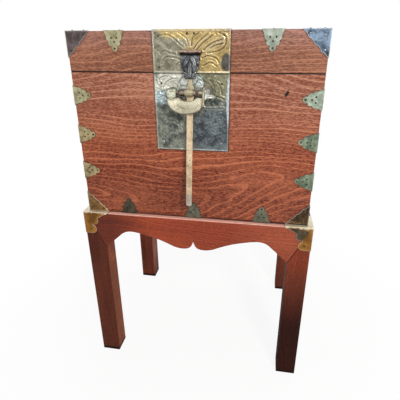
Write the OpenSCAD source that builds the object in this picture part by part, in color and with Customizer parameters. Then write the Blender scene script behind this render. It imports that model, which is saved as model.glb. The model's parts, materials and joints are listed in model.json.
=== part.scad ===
// Brass-bound chest on a four-legged stand, with a hanging hasp and a fish-shaped sliding padlock.
// Millimetres. +Z is up, -Y is the front. The origin is on the floor, under the middle of the whole
// object's box, which reaches from the hanging hasp's tail to the nails at the back of the stand.
// The chest lifts off the stand, the lid opens on two butt hinges at the back, the hasp swings on the
// lid, the padlock swings in the hasp's eye, its shackle slides out, and a bail hangs on each side.

/* [Chest] */
// Width of the chest, left to right
chest_w = 457; // [380:1:560]
// Depth of the chest, front to back
chest_d = 343; // [290:1:420]
// Height of the case under the lid
case_h = 284.5; // [270:0.5:340]
// Height of the lid
lid_h = 68.5; // [62:0.5:90]
// Thickness of the front, back and side boards
board_t = 12; // [10:0.5:15]
// Thickness of the lid's top panel and of the case's floor
panel_t = 10; // [6:0.5:14]

/* [Stand] */
// Height of the stand
stand_h = 390; // [300:1:480]
// Width of the stand's rim that shows round the chest
ledge = 10.5; // [8:0.5:16]
// Side of a square leg
leg_w = 43; // [38:0.5:52]
// Thickness of an apron
apron_t = 18; // [14:0.5:22]
// Depth of the apron at the middle of its arches
apron_arch = 41; // [34:0.5:44]
// Depth of the apron at the lobes beside its middle point
apron_lobe = 72; // [60:0.5:80]
// Depth of the apron at its middle point
apron_notch = 53; // [48:0.5:58]
// Depth of the bracket where the apron meets a leg
apron_bracket = 84; // [76:0.5:100]
// Width of a bearer rail under the chest
bearer_w = 20; // [14:1:30]
// Height of a bearer rail
bearer_h = 22; // [16:1:30]

/* [Sheet brass] */
// Thickness of the corner and leaf mounts
sheet_t = 1; // [0.8:0.1:1.4]
// Length of a leaf mount from the edge to its tip
leaf_l = 33.5; // [30:0.5:40]
// Width of a leaf mount at the edge
leaf_w = 37; // [33:0.5:44]
// Leg of a three-sided corner mount
corner_l = 44; // [38:0.5:52]
// Length of a stand cap along the rim
cap_l = 54; // [50:0.5:62]
// Drop of a stand cap down the leg
cap_drop = 51; // [48:0.5:58]
// Distance of the lid's leaf mounts from the middle
lid_leaf_x = 138; // [115:1:150]
// Distance of the bottom leaf mounts from the middle
foot_leaf_x = 138; // [100:1:145]
// Height above the case's foot of the lowest side leaf mount
side_leaf_z = 92; // [80:1:100]
// Distance between side leaf mounts
side_leaf_step = 75; // [66:0.5:82]
// Radius of a mount's pierced holes
pierce_r = 1.6; // [1.2:0.1:1.9]
// Radius of a nail's domed head
nail_head_r = 2.2; // [1.8:0.1:2.6]
// Radius of a nail's shank
nail_r = 0.8; // [0.6:0.1:1]
// Length of a nail's shank
nail_l = 5; // [4:0.5:5.5]

/* [Lock plates] */
// Width of the two lock plates
plate_w = 136; // [120:1:150]
// Height of the lower lock plate
plate_h = 140; // [125:1:150]
// Thickness of a lock plate
plate_t = 1.5; // [1.2:0.1:2]
// Reach of the upper plate over the lid's top
plate_lap = 14; // [10:1:20]
// Width of the raised rim round a lock plate
rim_w = 2.4; // [1.8:0.1:3]
// Height of the raised rim above the plate
rim_t = 0.6; // [0.4:0.1:1]
// Radius of the roundel behind the hasp
roundel_r = 25; // [22:0.5:27]
// Height of the roundel above the lower plate
roundel_t = 0.7; // [0.5:0.1:0.9]

/* [Hasp] */
// Height of the hasp's pin above the lid's lower edge
hasp_rise = 32.5; // [30:0.5:36]
// Length of the hasp's hinge barrel
barrel_l = 37; // [32:0.5:42]
// Outer radius of the hasp's hinge barrel
barrel_r = 3; // [2.6:0.1:3.2]
// Radius of the hasp's pin
hasp_pin_r = 1.5; // [1.2:0.05:1.7]
// Length of the hasp from its pin to its tail
hasp_l = 274; // [240:1:310]
// Thickness of the hasp's strap
strap_t = 2.5; // [2:0.1:3]
// Width of the strap's eye for the padlock
strap_w = 14; // [13:0.1:14.4]
// Width of the strap under its eye
blade_w = 11.8; // [10.5:0.1:13]
// Width of the strap at its tail
tail_w = 10.4; // [9:0.1:12]
// Width of the strap's neck under the shield
neck_w = 8; // [7:0.5:11]
// Width of the shield at its top
shield_w = 34; // [30:0.5:38]
// Width of the shield at its foot
shield_foot_w = 19; // [16:0.5:22]
// Height of the shield
shield_h = 39; // [35:0.5:42]
// Thickness of the shield
shield_t = 4.5; // [3.5:0.1:5]
// Distance from the hasp's pin down to the middle of its eye
eye_drop = 65.5; // [63:0.5:72]
// Outer radius of the eye and of the staples
loop_r = 5.6; // [5.3:0.1:5.9]
// Width of a staple
staple_w = 13; // [11:0.5:13.5]
// Distance from the case's front to the middle of the staples' holes
loop_reach = 13.5; // [13.4:0.1:14.4]

/* [Padlock] */
// Radius of the padlock's rod
rod_r = 3.2; // [2.8:0.1:3.4]
// Thickness of the fish at its thickest
fish_t = 13; // [12:0.1:13.6]
// Length of the head, from the nose to the opening for the staples
head_l = 19; // [16:0.5:22]
// Depth of the belly under the rod
belly_drop = 37; // [35:0.5:40]
// Length of the tail beyond the end plate
tail_l = 22; // [18:0.5:28]
// Depth of the springs' bar under the rod
bar_drop = 19; // [18.5:0.1:20]

/* [Back hinges] */
// Distance of each back hinge from the middle
hinge_x = 140; // [110:1:160]
// Length of a back hinge
hinge_l = 55; // [45:1:70]
// Height of one hinge leaf
hinge_h = 34; // [28:1:42]
// Thickness of a hinge leaf
hinge_t = 1.6; // [1.2:0.1:1.8]
// Outer radius of a hinge knuckle
knuckle_r = 4; // [3.5:0.1:4.6]
// Radius of a hinge pin
hinge_pin_r = 2; // [1.6:0.1:2.3]

/* [Bail handles] */
// Height of the bail's pivots above the case's foot
bail_z = 190; // [150:1:210]
// Distance between the bail's two posts
bail_w = 96; // [80:1:120]
// Drop of the bail under its pivots
bail_drop = 42; // [34:1:55]
// Radius of the bail's rod
bail_r = 3; // [2.5:0.1:3.4]
// Radius of a bail post
post_r = 5; // [4.6:0.1:6]
// Distance of the bail's pivots from the side
bail_reach = 8; // [7.6:0.1:10]
// Radius of the washer behind a bail post
washer_r = 12; // [9:0.5:15]

/* [Clearances] */
// Radial clearance of a pin in its bore
pin_gap = 0.05; // [0.02:0.01:0.1]
// Gap between neighbouring pieces that move past each other
side_gap = 0.4; // [0.3:0.05:0.5]
// Gap between the padlock's rod and the staples that it rests against
rest_gap = 0.4; // [0.35:0.05:0.6]

/* [Hidden] */

$fn = 48;
eps = 0.01;

// Main planes and levels
half_w = chest_w / 2;
half_d = chest_d / 2;
seam_z = stand_h + case_h;
top_z = seam_z + lid_h;
stand_half_w = half_w + ledge;
stand_half_d = half_d + ledge;

// Hasp, in the locked position: y is measured from the case's front, z from the hasp's pin
hasp_z = seam_z + hasp_rise;
hasp_pin_y = -plate_t - side_gap - barrel_r;
strap_back = -plate_t - rim_t - 2 * side_gap;
strap_front = strap_back - strap_t;
shield_front = strap_front - shield_t;
shield_top = -barrel_r - 0.6;
bracket_rise = 5;
bracket_t = 2.2;
tail_r = 3;
// The rod lies in front of the staples, so the hasp hangs swung out by this angle
hasp_lean = asin((loop_r + rod_r + rest_gap) / eye_drop);
eye_w = strap_w;
staple_x = strap_w / 2 + 2 * side_gap;

// Staples: a flat shank through plate and board, clenched inside
shank_w = 7;
shank_h = 4;
clench_t = 2;
clench_l = 9;

// Hasp's hinge: three knuckles of one length
mid_l = barrel_l / 3;

// Padlock, measured from the middle of its rod
gap_half = staple_x + staple_w + 1.2;
tail_x = gap_half + 2;
head_x = -gap_half;
nose_x = head_x - head_l;
jaw_x = nose_x + 2;
end_plate_t = 3;
end_plate_w = 9;
plate_x = tail_x + side_gap / 2;
fin_x = plate_x + end_plate_t;
back_drop = 8.8;
back_r = 28.2;
bar_h = 3;
bar_w = 4;
spring_t = 0.7;
bar_l = tail_x + 27;
slot_gap = 3 * pin_gap;
key_hole = 3;
socket_l = 4;
cheek_r = 26;
head_cheek_r = 22;
crown_rise = 9.5;
through = 80;

// Leg's inner faces, measured from the middle of the stand
leg_in_w = stand_half_w - leg_w;
leg_in_d = stand_half_d - leg_w;

// Stand cap: lobes of its lower edge, and its nails measured from the rim's corner
cap_lobe = 10;
cap_nails = [[22, -21], [13, -cap_drop + 10], [9, -10]];

// Back hinges: five knuckles, of which the case has three and the lid two
hinge_y = half_d + knuckle_r + side_gap;
knuckles = 5;
knuckle_l = hinge_l / knuckles;
screw_at = [[-0.34, 0.5], [0, 0.72], [0.34, 0.5]];
screw_r = 1.5;
screw_head_r = 3;
screw_head_h = 1;
screw_l = 9;

// Bail handles: post's shank and inner head, pin at the end of each arm, and the bends
post_shank_r = 2.5;
post_head_h = 2;
bail_pin_r = bail_r - 0.8;
arm_y = bail_w / 2 + post_r + side_gap + bail_r;
turn_r = 9;

function bezier(a, b, c, n = 8) =
    [for (i = [1:n]) let (t = i / n) (1 - t) * (1 - t) * a + 2 * t * (1 - t) * b + t * t * c];
function flip_x(points) = [for (i = [len(points) - 1:-1:0]) [-points[i][0], points[i][1]]];

// Sub-parts are drawn from the middle of the four feet and moved back by this to the origin
nail_rise = nail_head_r * 0.6;
front_reach = -half_d + hasp_pin_y + (strap_front - hasp_pin_y) * cos(hasp_lean) - hasp_l * sin(hasp_lean);
back_reach = stand_half_d + sheet_t + nail_rise;
feet_y = -(front_reach + back_reach) / 2;

// Places where nails go: on the front of the case, and on the front and top of the lid
nail_in = 9;
lower_nails = [for (x = [-1, 1], z = [nail_in + 6, plate_h - nail_in - 9]) [x * (plate_w / 2 - 13), z]];
upper_nails = [[-57, lid_h - nail_in], [57, lid_h - nail_in], [-58, nail_in], [58, nail_in],
    [-6, lid_h - rim_w - nail_head_r - 0.6], [6, lid_h - rim_w - nail_head_r - 0.6]];
leaf_nail = leaf_l - 4.6;
corner_nails = [[9, 9], [corner_l - 12, 6.5], [6.5, corner_l - 12]];

// General pieces

module in_place() {
    translate([0, feet_y, 0])
        children();
}

module board(size, at) {
    translate(at)
        cube(size);
}

// A nail along +Z, its head on the plane z = 0
module nail() {
    intersection() {
        translate([0, 0, nail_rise - nail_head_r])
            sphere(r = nail_head_r, $fn = 24);
        translate([0, 0, nail_head_r / 2])
            cube([3 * nail_head_r, 3 * nail_head_r, nail_head_r], center = true);
    }
    translate([0, 0, -nail_l])
        cylinder(r = nail_r, h = nail_l + 0.2, $fn = 24);
}

// The hole that a nail needs
module nail_hole() {
    translate([0, 0, -nail_l - 0.5])
        cylinder(r = nail_r + pin_gap, h = nail_l + 3, $fn = 24);
}

// Turns a piece drawn on the XY plane to stand on the front, its +Z towards -Y
module on_front(at = [0, 0, 0]) {
    translate(at)
        rotate([90, 0, 0])
            children();
}

// Turns a piece drawn on the XY plane to stand on the right side, its +Z towards +X and its x to the back
module on_right(at = [0, 0, 0]) {
    translate(at)
        rotate([90, 0, 90])
            children();
}

// Leaf mount: the edge of the wood is y = 0 and the tip points to -y, past two pairs of lobes
module leaf_outline() {
    base = leaf_w / 2;
    tip_r = 5.4;
    tip_y = -leaf_l + tip_r;
    polygon([[-base, 0], [-base + 2.4, -4], [-base + 3.4, -7], [-base + 6.4, -15.5], [-base + 9.8, -19],
        [-tip_r + 1.2, tip_y], [tip_r - 1.2, tip_y], [base - 9.8, -19], [base - 6.4, -15.5],
        [base - 3.4, -7], [base - 2.4, -4], [base, 0]]);
    for (x = [-1, 1]) {
        translate([x * (base - 9.8), -11.5])
            circle(r = 5.6);
        translate([x * (base - 12.6), -20.2])
            circle(r = 5);
    }
    translate([0, tip_y])
        circle(r = tip_r);
}

module leaf_holes() {
    for (p = [[-5, -leaf_l * 0.34], [5, -leaf_l * 0.34], [0, -leaf_l * 0.54]])
        translate(p)
            circle(r = pierce_r);
    translate([0, -leaf_nail])
        circle(r = nail_r + pin_gap);
}

module leaf_sheet() {
    linear_extrude(height = sheet_t)
        difference() {
            leaf_outline();
            leaf_holes();
        }
}

// A leaf folded over an edge that runs along X: one half on the front, one on the top
module folded_leaf() {
    on_front()
        leaf_sheet();
    mirror([0, 1, 0])
        leaf_sheet();
    translate([-leaf_w / 2, -sheet_t, -eps])
        cube([leaf_w, sheet_t + eps, sheet_t + eps]);
}

// Scalloped triangle in the corner at the origin, along +x and +y
module corner_outline() {
    polygon([[0, 0], [corner_l, 0], [0, corner_l]]);
    for (i = [1:3])
        translate([corner_l * i / 4 - 3.4, corner_l * (1 - i / 4) - 3.4])
            circle(r = 6.4);
}

module corner_sheet() {
    linear_extrude(height = sheet_t)
        difference() {
            corner_outline();
            for (p = corner_nails)
                translate(p)
                    circle(r = nail_r + pin_gap);
        }
}

// Corner mount on three faces of the corner at the origin: wood lies at -x, +y and -z of it
module corner_mount(with_top = true) {
    on_front()
        mirror([1, 1, 0])
            rotate(90)
                mirror([0, 1, 0])
                    corner_sheet();
    rotate([90, 0, 90])
        mirror([0, 1, 0])
            corner_sheet();
    translate([-eps, -sheet_t, -corner_l])
        cube([sheet_t + eps, sheet_t + eps, corner_l]);
    if (with_top) {
        mirror([1, 0, 0])
            corner_sheet();
        translate([-corner_l, -sheet_t, -eps])
            cube([corner_l + sheet_t, sheet_t + eps, sheet_t + eps]);
        translate([-eps, -sheet_t, -eps])
            cube([sheet_t + eps, corner_l + sheet_t, sheet_t + eps]);
    }
}

// The nails of a corner mount, in the same place
module corner_mount_nails(with_top = true) {
    for (p = corner_nails) {
        translate([-p[0], -sheet_t, -p[1]])
            rotate([90, 0, 0])
                nail();
        translate([sheet_t, p[0], -p[1]])
            rotate([0, 90, 0])
                nail();
        if (with_top && p[0] > 8)
            translate([-p[0], p[1], sheet_t])
                nail();
    }
}

module corner_mount_holes(with_top = true) {
    for (p = corner_nails) {
        translate([-p[0], -sheet_t, -p[1]])
            rotate([90, 0, 0])
                nail_hole();
        translate([sheet_t, p[0], -p[1]])
            rotate([0, 90, 0])
                nail_hole();
        if (with_top && p[0] > 8)
            translate([-p[0], p[1], sheet_t])
                nail_hole();
    }
}

// Puts a child that is drawn for the front right corner on all four corners of a box
module four_corners(x, y, z) {
    for (sx = [0, 1], sy = [0, 1])
        mirror([sx, 0, 0])
            mirror([0, sy, 0])
                translate([x, -y, z])
                    children();
}

// Stand

// Lower edge of an apron from its middle to the leg, as depths under the rim; reach is the inside of the leg
function apron_edge(reach, lobe_x, arch_run) = concat(
    [[0, -apron_notch]],
    bezier([0, -apron_notch], [lobe_x * 0.07, -apron_lobe + 5], [lobe_x * 0.26, -apron_lobe + 2], 5),
    bezier([lobe_x * 0.26, -apron_lobe + 2], [lobe_x * 0.56, -apron_lobe - 2.5], [lobe_x, -apron_lobe + 3.8]),
    bezier([lobe_x, -apron_lobe + 3.8], [(lobe_x + reach - arch_run) / 2 + 3, -apron_arch - 12],
        [reach - arch_run, -apron_arch - 6.5]),
    bezier([reach - arch_run, -apron_arch - 6.5], [reach - arch_run * 0.78, -apron_arch - 1],
        [reach - arch_run * 0.64, -apron_arch]),
    bezier([reach - arch_run * 0.64, -apron_arch], [reach - 46, -apron_arch + 0.5],
        [reach - 35.5, -apron_arch - 10.5]),
    [[reach, -apron_bracket]]);

// The whole face of an apron, with its mitred shoulders up to the corner of the rim
module apron_face(reach, half, lobe_x, arch_run) {
    right = apron_edge(reach, lobe_x, arch_run);
    polygon(concat([[-half, 0]], flip_x([for (i = [1:len(right) - 1]) right[i]]), right, [[half, 0]]));
}

// An apron along X with its outer face on y = 0, its rim on z = 0 and its ends mitred at the corners
module apron(reach, half, lobe_x, arch_run) {
    intersection() {
        translate([0, apron_t, 0])
            rotate([90, 0, 0])
                linear_extrude(height = apron_t)
                    apron_face(reach, half, lobe_x, arch_run);
        translate([0, 0, -apron_bracket - 1])
            linear_extrude(height = apron_bracket + 2)
                polygon([[-half, 0], [half, 0], [half - apron_t, apron_t], [-half + apron_t, apron_t]]);
    }
}

module front_apron_shape() {
    apron(leg_in_w, stand_half_w, 43, 97);
}

module side_apron_shape() {
    apron(leg_in_d, stand_half_d, 27, 76);
}

// The shoulder that is cut out of a leg for the aprons: the corner at the origin, the leg at -x and +y
module shoulder_cut(deep) {
    for (turn = [0, 1])
        mirror([turn, turn, 0])
            translate([0, deep, 0])
                rotate([90, 0, 0])
                    linear_extrude(height = deep + 1)
                        polygon([[-leg_w - 1, 1], [-leg_w - 1, -apron_bracket], [-leg_w, -apron_bracket],
                            [0, 0], [1, 0], [1, 1]]);
}

// Front right leg in place
module leg() {
    difference() {
        translate([stand_half_w - leg_w, -stand_half_d, 0])
            cube([leg_w, leg_w, stand_h]);
        translate([stand_half_w, -stand_half_d, stand_h]) {
            shoulder_cut(apron_t);
            cap_nail_places()
                nail_hole();
        }
    }
}

module place_leg(sx, sy) {
    color("sienna")
        in_place()
            mirror([sx, 0, 0])
                mirror([0, sy, 0])
                    leg();
}

module leg_front_left() {
    place_leg(1, 0);
}

module leg_front_right() {
    place_leg(0, 0);
}

module leg_back_left() {
    place_leg(1, 1);
}

module leg_back_right() {
    place_leg(0, 1);
}

module long_apron(turn) {
    color("peru")
        in_place()
            mirror([0, turn, 0])
                difference() {
                    translate([0, -stand_half_d, stand_h])
                        front_apron_shape();
                    all_cap_nail_holes();
                }
}

module short_apron(turn) {
    color("peru")
        in_place()
            mirror([turn, 0, 0])
                difference() {
                    translate([stand_half_w, 0, stand_h])
                        rotate([0, 0, 90])
                            side_apron_shape();
                    all_cap_nail_holes();
                }
}

module apron_front() {
    long_apron(0);
}

module apron_back() {
    long_apron(1);
}

module apron_right() {
    short_apron(0);
}

module apron_left() {
    short_apron(1);
}

// Bearers run between the legs on the aprons' inner faces, level with the rim
module bearer_x(sy) {
    color("burlywood")
        in_place()
            mirror([0, sy, 0])
                translate([-leg_in_w, -stand_half_d + apron_t, stand_h - bearer_h])
                    cube([2 * leg_in_w, bearer_w, bearer_h]);
}

module bearer_y(sx) {
    inner = stand_half_d - max(leg_w, apron_t + bearer_w);
    color("burlywood")
        in_place()
            mirror([sx, 0, 0])
                translate([stand_half_w - apron_t - bearer_w, -inner, stand_h - bearer_h])
                    cube([bearer_w, 2 * inner, bearer_h]);
}

module bearer_front() {
    bearer_x(0);
}

module bearer_back() {
    bearer_x(1);
}

module bearer_right() {
    bearer_y(0);
}

module bearer_left() {
    bearer_y(1);
}

// Cap outline on a face of the stand: the corner at the origin, the face along +x and -y
module cap_outline() {
    polygon([[0, 0], [cap_l, 0], [cap_l - 2, -2.5], [cap_l - 12, -7], [cap_l - 22, -13],
        [cap_lobe * 2.2, -20], [17, -cap_drop + 19], [cap_lobe * 2, -cap_drop + 12],
        [0, -cap_drop + cap_lobe]]);
    translate([cap_lobe * 2.15, -20])
        circle(r = cap_lobe * 0.95);
    translate([cap_lobe * 1.5, -cap_drop + cap_lobe])
        circle(r = cap_lobe);
    translate([0, -cap_drop])
        square([cap_lobe * 1.5, cap_lobe * 2]);
}

module cap_side() {
    linear_extrude(height = sheet_t)
        difference() {
            cap_outline();
            for (p = cap_nails)
                translate(p)
                    circle(r = nail_r + pin_gap);
        }
}

// The cap's front right piece: two faces, the rim that shows beside the chest, and the folded corner
module corner_cap() {
    rim = ledge - sheet_t - side_gap;
    on_front()
        mirror([1, 0, 0])
            cap_side();
    rotate([90, 0, 90])
        cap_side();
    translate([-eps, -sheet_t, -cap_drop])
        cube([sheet_t + eps, sheet_t + eps, cap_drop + sheet_t]);
    translate([-cap_l, -sheet_t, 0])
        cube([cap_l + sheet_t, rim + sheet_t, sheet_t]);
    translate([-rim, -sheet_t, 0])
        cube([rim + sheet_t, cap_l + sheet_t, sheet_t]);
}

module stand_corner_caps() {
    color("goldenrod")
        in_place()
            four_corners(stand_half_w, stand_half_d, stand_h)
                corner_cap();
}

module cap_nail_places() {
    for (p = cap_nails) {
        translate([-p[0], -sheet_t, p[1]])
            rotate([90, 0, 0])
                children();
        translate([sheet_t, p[0], p[1]])
            rotate([0, 90, 0])
                children();
    }
}

module stand_nails() {
    color("gold")
        in_place()
            four_corners(stand_half_w, stand_half_d, stand_h)
                cap_nail_places()
                    nail();
}

module all_cap_nail_holes() {
    four_corners(stand_half_w, stand_half_d, stand_h)
        cap_nail_places()
            nail_hole();
}

// Case

// Puts a child on each nail place of the case's plate and leaf mounts, its +Z out of the wood
module case_nail_places() {
    for (p = lower_nails)
        on_front([p[0], -half_d - plate_t, seam_z - plate_h + p[1]])
            children();
    for (x = [-foot_leaf_x, 0, foot_leaf_x])
        on_front([x, -half_d - sheet_t, stand_h + leaf_nail])
            children();
    for (side = [0, 1], i = [0:2])
        mirror([side, 0, 0]) {
            on_front([half_w - leaf_nail, -half_d - sheet_t, stand_h + side_leaf_z + i * side_leaf_step])
                children();
            on_right([half_w + sheet_t, -half_d + leaf_nail, stand_h + side_leaf_z + i * side_leaf_step])
                children();
        }
}

module staple_slots() {
    for (x = [-1, 1])
        translate([x * (staple_x + staple_w / 2), -half_d + board_t / 2, hasp_z - eye_drop])
            cube([shank_w, board_t + 4 * plate_t, shank_h], center = true);
}

module case_front() {
    color("sienna")
        in_place()
            difference() {
                board([chest_w, board_t, case_h], [-half_w, -half_d, stand_h]);
                staple_slots();
                case_nail_holes();
            }
}

module case_nail_holes() {
    case_nail_places()
        nail_hole();
    foot_corners()
        corner_mount_holes(false);
}

module case_back() {
    color("sienna")
        in_place()
            difference() {
                board([chest_w, board_t, case_h], [-half_w, half_d - board_t, stand_h]);
                foot_corners()
                    corner_mount_holes(false);
                below_seam()
                    hinge_screw_places()
                        screw_hole();
            }
}

module case_side(side) {
    color("sienna")
        in_place()
            difference() {
                mirror([side, 0, 0])
                    board([board_t, chest_d - 2 * board_t, case_h],
                        [half_w - board_t, -half_d + board_t, stand_h]);
                case_nail_places()
                    nail_hole();
                foot_corners()
                    corner_mount_holes(false);
                bail_post_places()
                    translate([0, 0, -board_t - 1])
                        cylinder(r = post_shank_r + pin_gap, h = board_t + 2);
            }
}

module case_right() {
    case_side(0);
}

module case_left() {
    case_side(1);
}

module case_floor() {
    color("burlywood")
        in_place()
            board([chest_w - 2 * board_t, chest_d - 2 * board_t, panel_t],
                [-half_w + board_t, -half_d + board_t, stand_h]);
}

module raised_plate(w, h, nails) {
    difference() {
        union() {
            translate([-w / 2, 0, 0])
                cube([w, h, plate_t]);
            difference() {
                translate([-w / 2, 0, 0])
                    cube([w, h, plate_t + rim_t]);
                translate([-w / 2 + rim_w, rim_w, -1])
                    cube([w - 2 * rim_w, h - 2 * rim_w, plate_t + rim_t + 2]);
            }
        }
        for (p = nails)
            translate([p[0], p[1], -1])
                cylinder(r = nail_r + pin_gap, h = plate_t + 2, $fn = 24);
    }
}

module lower_lock_plate() {
    color("darkkhaki")
        in_place()
            difference() {
                on_front([0, -half_d, seam_z - plate_h]) {
                    raised_plate(plate_w, plate_h, lower_nails);
                    translate([0, plate_h - roundel_r - 1, 0])
                        cylinder(r = roundel_r, h = plate_t + roundel_t, $fn = 96);
                }
                staple_slots();
            }
}

// A staple: a loop for the rod, with a shank through the plate and the board, clenched inside
module staple(sx) {
    color("khaki")
        in_place()
            mirror([sx, 0, 0])
                translate([staple_x, -half_d, hasp_z - eye_drop]) {
                    difference() {
                        union() {
                            rotate([90, 0, 90])
                                linear_extrude(height = staple_w) {
                                    translate([-loop_reach, 0])
                                        circle(r = loop_r);
                                    translate([-loop_reach, -loop_r])
                                        square([loop_reach - plate_t - roundel_t, 2 * loop_r]);
                                }
                            translate([staple_w / 2 - shank_w / 2, -plate_t - roundel_t - eps, -shank_h / 2])
                                cube([shank_w, board_t + plate_t + roundel_t + clench_t + eps, shank_h]);
                            translate([staple_w / 2 - shank_w / 2, board_t, -clench_l])
                                cube([shank_w, clench_t, 2 * clench_l]);
                        }
                        translate([-1, -loop_reach, 0])
                            rotate([0, 90, 0])
                                cylinder(r = rod_r + side_gap, h = staple_w + 2);
                    }
                }
}

module staple_right() {
    staple(0);
}

module staple_left() {
    staple(1);
}

module case_leaf_mounts() {
    color("darkseagreen")
        in_place() {
            for (side = [0, 1], i = [0:2])
                mirror([side, 0, 0])
                    translate([half_w, -half_d, stand_h + side_leaf_z + i * side_leaf_step])
                        rotate([0, 90, 0])
                            folded_leaf();
            for (x = [-foot_leaf_x, 0, foot_leaf_x])
                on_front([x, -half_d, stand_h])
                    mirror([0, 1, 0])
                        leaf_sheet();
        }
}

module foot_corners() {
    four_corners(half_w, half_d, stand_h)
        mirror([0, 0, 1])
            children();
}

module case_corner_mounts() {
    color("darkgoldenrod")
        in_place()
            foot_corners()
                corner_mount(false);
}

module case_nails() {
    color("gold")
        in_place() {
            case_nail_places()
                nail();
            foot_corners()
                corner_mount_nails(false);
        }
}

// Back hinges

module knuckle(i) {
    translate([-hinge_l / 2 + i * knuckle_l + side_gap / 2, hinge_y, seam_z])
        rotate([0, 90, 0])
            difference() {
                cylinder(r = knuckle_r, h = knuckle_l - side_gap);
                translate([0, 0, -1])
                    cylinder(r = hinge_pin_r + pin_gap, h = knuckle_l + 2);
            }
}

// One leaf, upward for the lid, with the fingers that hold its knuckles
module hinge_leaf(first) {
    start = knuckle_r + side_gap;
    difference() {
        union() {
            translate([-hinge_l / 2, half_d, seam_z + start])
                cube([hinge_l, hinge_t, hinge_h - start]);
            for (i = [first:2:knuckles - 1])
                translate([-hinge_l / 2 + i * knuckle_l + side_gap / 2, half_d, seam_z + side_gap / 2])
                    cube([knuckle_l - side_gap, hinge_t, start]);
            for (i = [first:2:knuckles - 1])
                knuckle(i);
        }
        for (p = screw_at)
            translate([p[0] * hinge_l, half_d + hinge_t, seam_z + p[1] * hinge_h])
                rotate([-90, 0, 0])
                    screw_hole();
        for (i = [first:2:knuckles - 1])
            translate([-hinge_l / 2 + i * knuckle_l, hinge_y, seam_z])
                rotate([0, 90, 0])
                    cylinder(r = hinge_pin_r + pin_gap, h = knuckle_l);
    }
}

module both_hinges() {
    for (x = [-hinge_x, hinge_x])
        translate([x, 0, 0])
            children();
}

module below_seam() {
    translate([0, 0, 2 * seam_z])
        mirror([0, 0, 1])
            children();
}

// Puts a child on the screw places of the lid's leaves, its +Z to the back
module hinge_screw_places() {
    both_hinges()
        for (p = screw_at)
            translate([p[0] * hinge_l, half_d + hinge_t, seam_z + p[1] * hinge_h])
                rotate([-90, 0, 0])
                    children();
}

module screw() {
    translate([0, 0, -screw_l])
        cylinder(r = screw_r, h = screw_l, $fn = 24);
    difference() {
        cylinder(r = screw_head_r, h = screw_head_h, $fn = 24);
        translate([0, 0, screw_head_h])
            cube([3 * screw_head_r, 0.8, screw_head_h], center = true);
    }
}

module screw_hole() {
    translate([0, 0, -screw_l - 0.5])
        cylinder(r = screw_r + pin_gap, h = screw_l + 3, $fn = 24);
}

module lid_hinge_screws() {
    color("khaki")
        in_place()
            hinge_screw_places()
                screw();
}

module case_hinge_screws() {
    color("khaki")
        in_place()
            below_seam()
                hinge_screw_places()
                    screw();
}

module case_hinge_leaves() {
    color("darkkhaki")
        in_place()
            both_hinges()
                below_seam()
                    hinge_leaf(0);
}

module lid_hinge_leaves() {
    color("darkkhaki")
        in_place()
            both_hinges()
                hinge_leaf(1);
}

module hinge_pins() {
    color("silver")
        in_place()
            both_hinges()
                translate([-hinge_l / 2, hinge_y, seam_z])
                    rotate([0, 90, 0])
                        cylinder(r = hinge_pin_r, h = hinge_l);
}

// Bail handles

// Puts a child on the places of the four posts, its +Z out of the side
module bail_post_places() {
    for (side = [0, 1], y = [-bail_w / 2, bail_w / 2])
        mirror([side, 0, 0])
            on_right([half_w, y, stand_h + bail_z])
                children();
}

module bail_posts() {
    color("darkkhaki")
        in_place()
            bail_post_places()
                difference() {
                    union() {
                        translate([0, 0, sheet_t])
                            cylinder(r = post_r - 1.2, h = bail_reach - sheet_t);
                        translate([0, 0, bail_reach])
                            sphere(r = post_r);
                        translate([0, 0, -board_t - post_head_h])
                            cylinder(r = post_shank_r, h = board_t + post_head_h + sheet_t);
                        translate([0, 0, -board_t - post_head_h])
                            cylinder(r = post_r + 1, h = post_head_h);
                    }
                    translate([-2 * post_r, 0, bail_reach])
                        rotate([0, 90, 0])
                            cylinder(r = bail_pin_r + pin_gap, h = 4 * post_r);
                }
}

module bail_washers() {
    color("khaki")
        in_place()
            bail_post_places()
                difference() {
                    cylinder(r = washer_r, h = sheet_t);
                    translate([0, 0, -1])
                        cylinder(r = post_shank_r + pin_gap, h = sheet_t + 2);
                }
}

// The right bail: a grip between two round bends, two arms, and pins turned inward through the posts
module bail(side) {
    pin_y = bail_w / 2 - post_r - 1.5;
    color("khaki")
        in_place()
            mirror([side, 0, 0])
                translate([half_w + bail_reach, 0, stand_h + bail_z]) {
                    for (s = [0, 1])
                        mirror([0, s, 0]) {
                            translate([0, arm_y, -bail_drop + turn_r])
                                cylinder(r = bail_r, h = bail_drop - turn_r);
                            translate([0, arm_y, 0])
                                sphere(r = bail_r);
                            translate([0, pin_y, 0])
                                rotate([-90, 0, 0])
                                    cylinder(r = bail_pin_r, h = arm_y - pin_y);
                            translate([0, arm_y - turn_r, -bail_drop + turn_r])
                                rotate([0, 90, 0])
                                    rotate_extrude(angle = 90)
                                        translate([turn_r, 0])
                                            circle(r = bail_r);
                        }
                    translate([0, -arm_y + turn_r, -bail_drop])
                        rotate([-90, 0, 0])
                            cylinder(r = bail_r, h = 2 * (arm_y - turn_r));
                }
}

module bail_right() {
    bail(0);
}

module bail_left() {
    bail(1);
}

// Lid

module lid_nail_places() {
    for (p = upper_nails)
        on_front([p[0], -half_d - plate_t, seam_z + p[1]])
            children();
    for (x = [-lid_leaf_x, lid_leaf_x]) {
        on_front([x, -half_d - sheet_t, top_z - leaf_nail])
            children();
        translate([x, -half_d + leaf_nail, top_z + sheet_t])
            children();
    }
}

module lid_corners() {
    four_corners(half_w, half_d, top_z)
        children();
}

module lid_nail_holes() {
    lid_nail_places()
        nail_hole();
    lid_corners()
        corner_mount_holes(true);
}

module lid_front() {
    color("sienna")
        in_place()
            difference() {
                board([chest_w, board_t, lid_h], [-half_w, -half_d, seam_z]);
                lid_nail_holes();
            }
}

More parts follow.
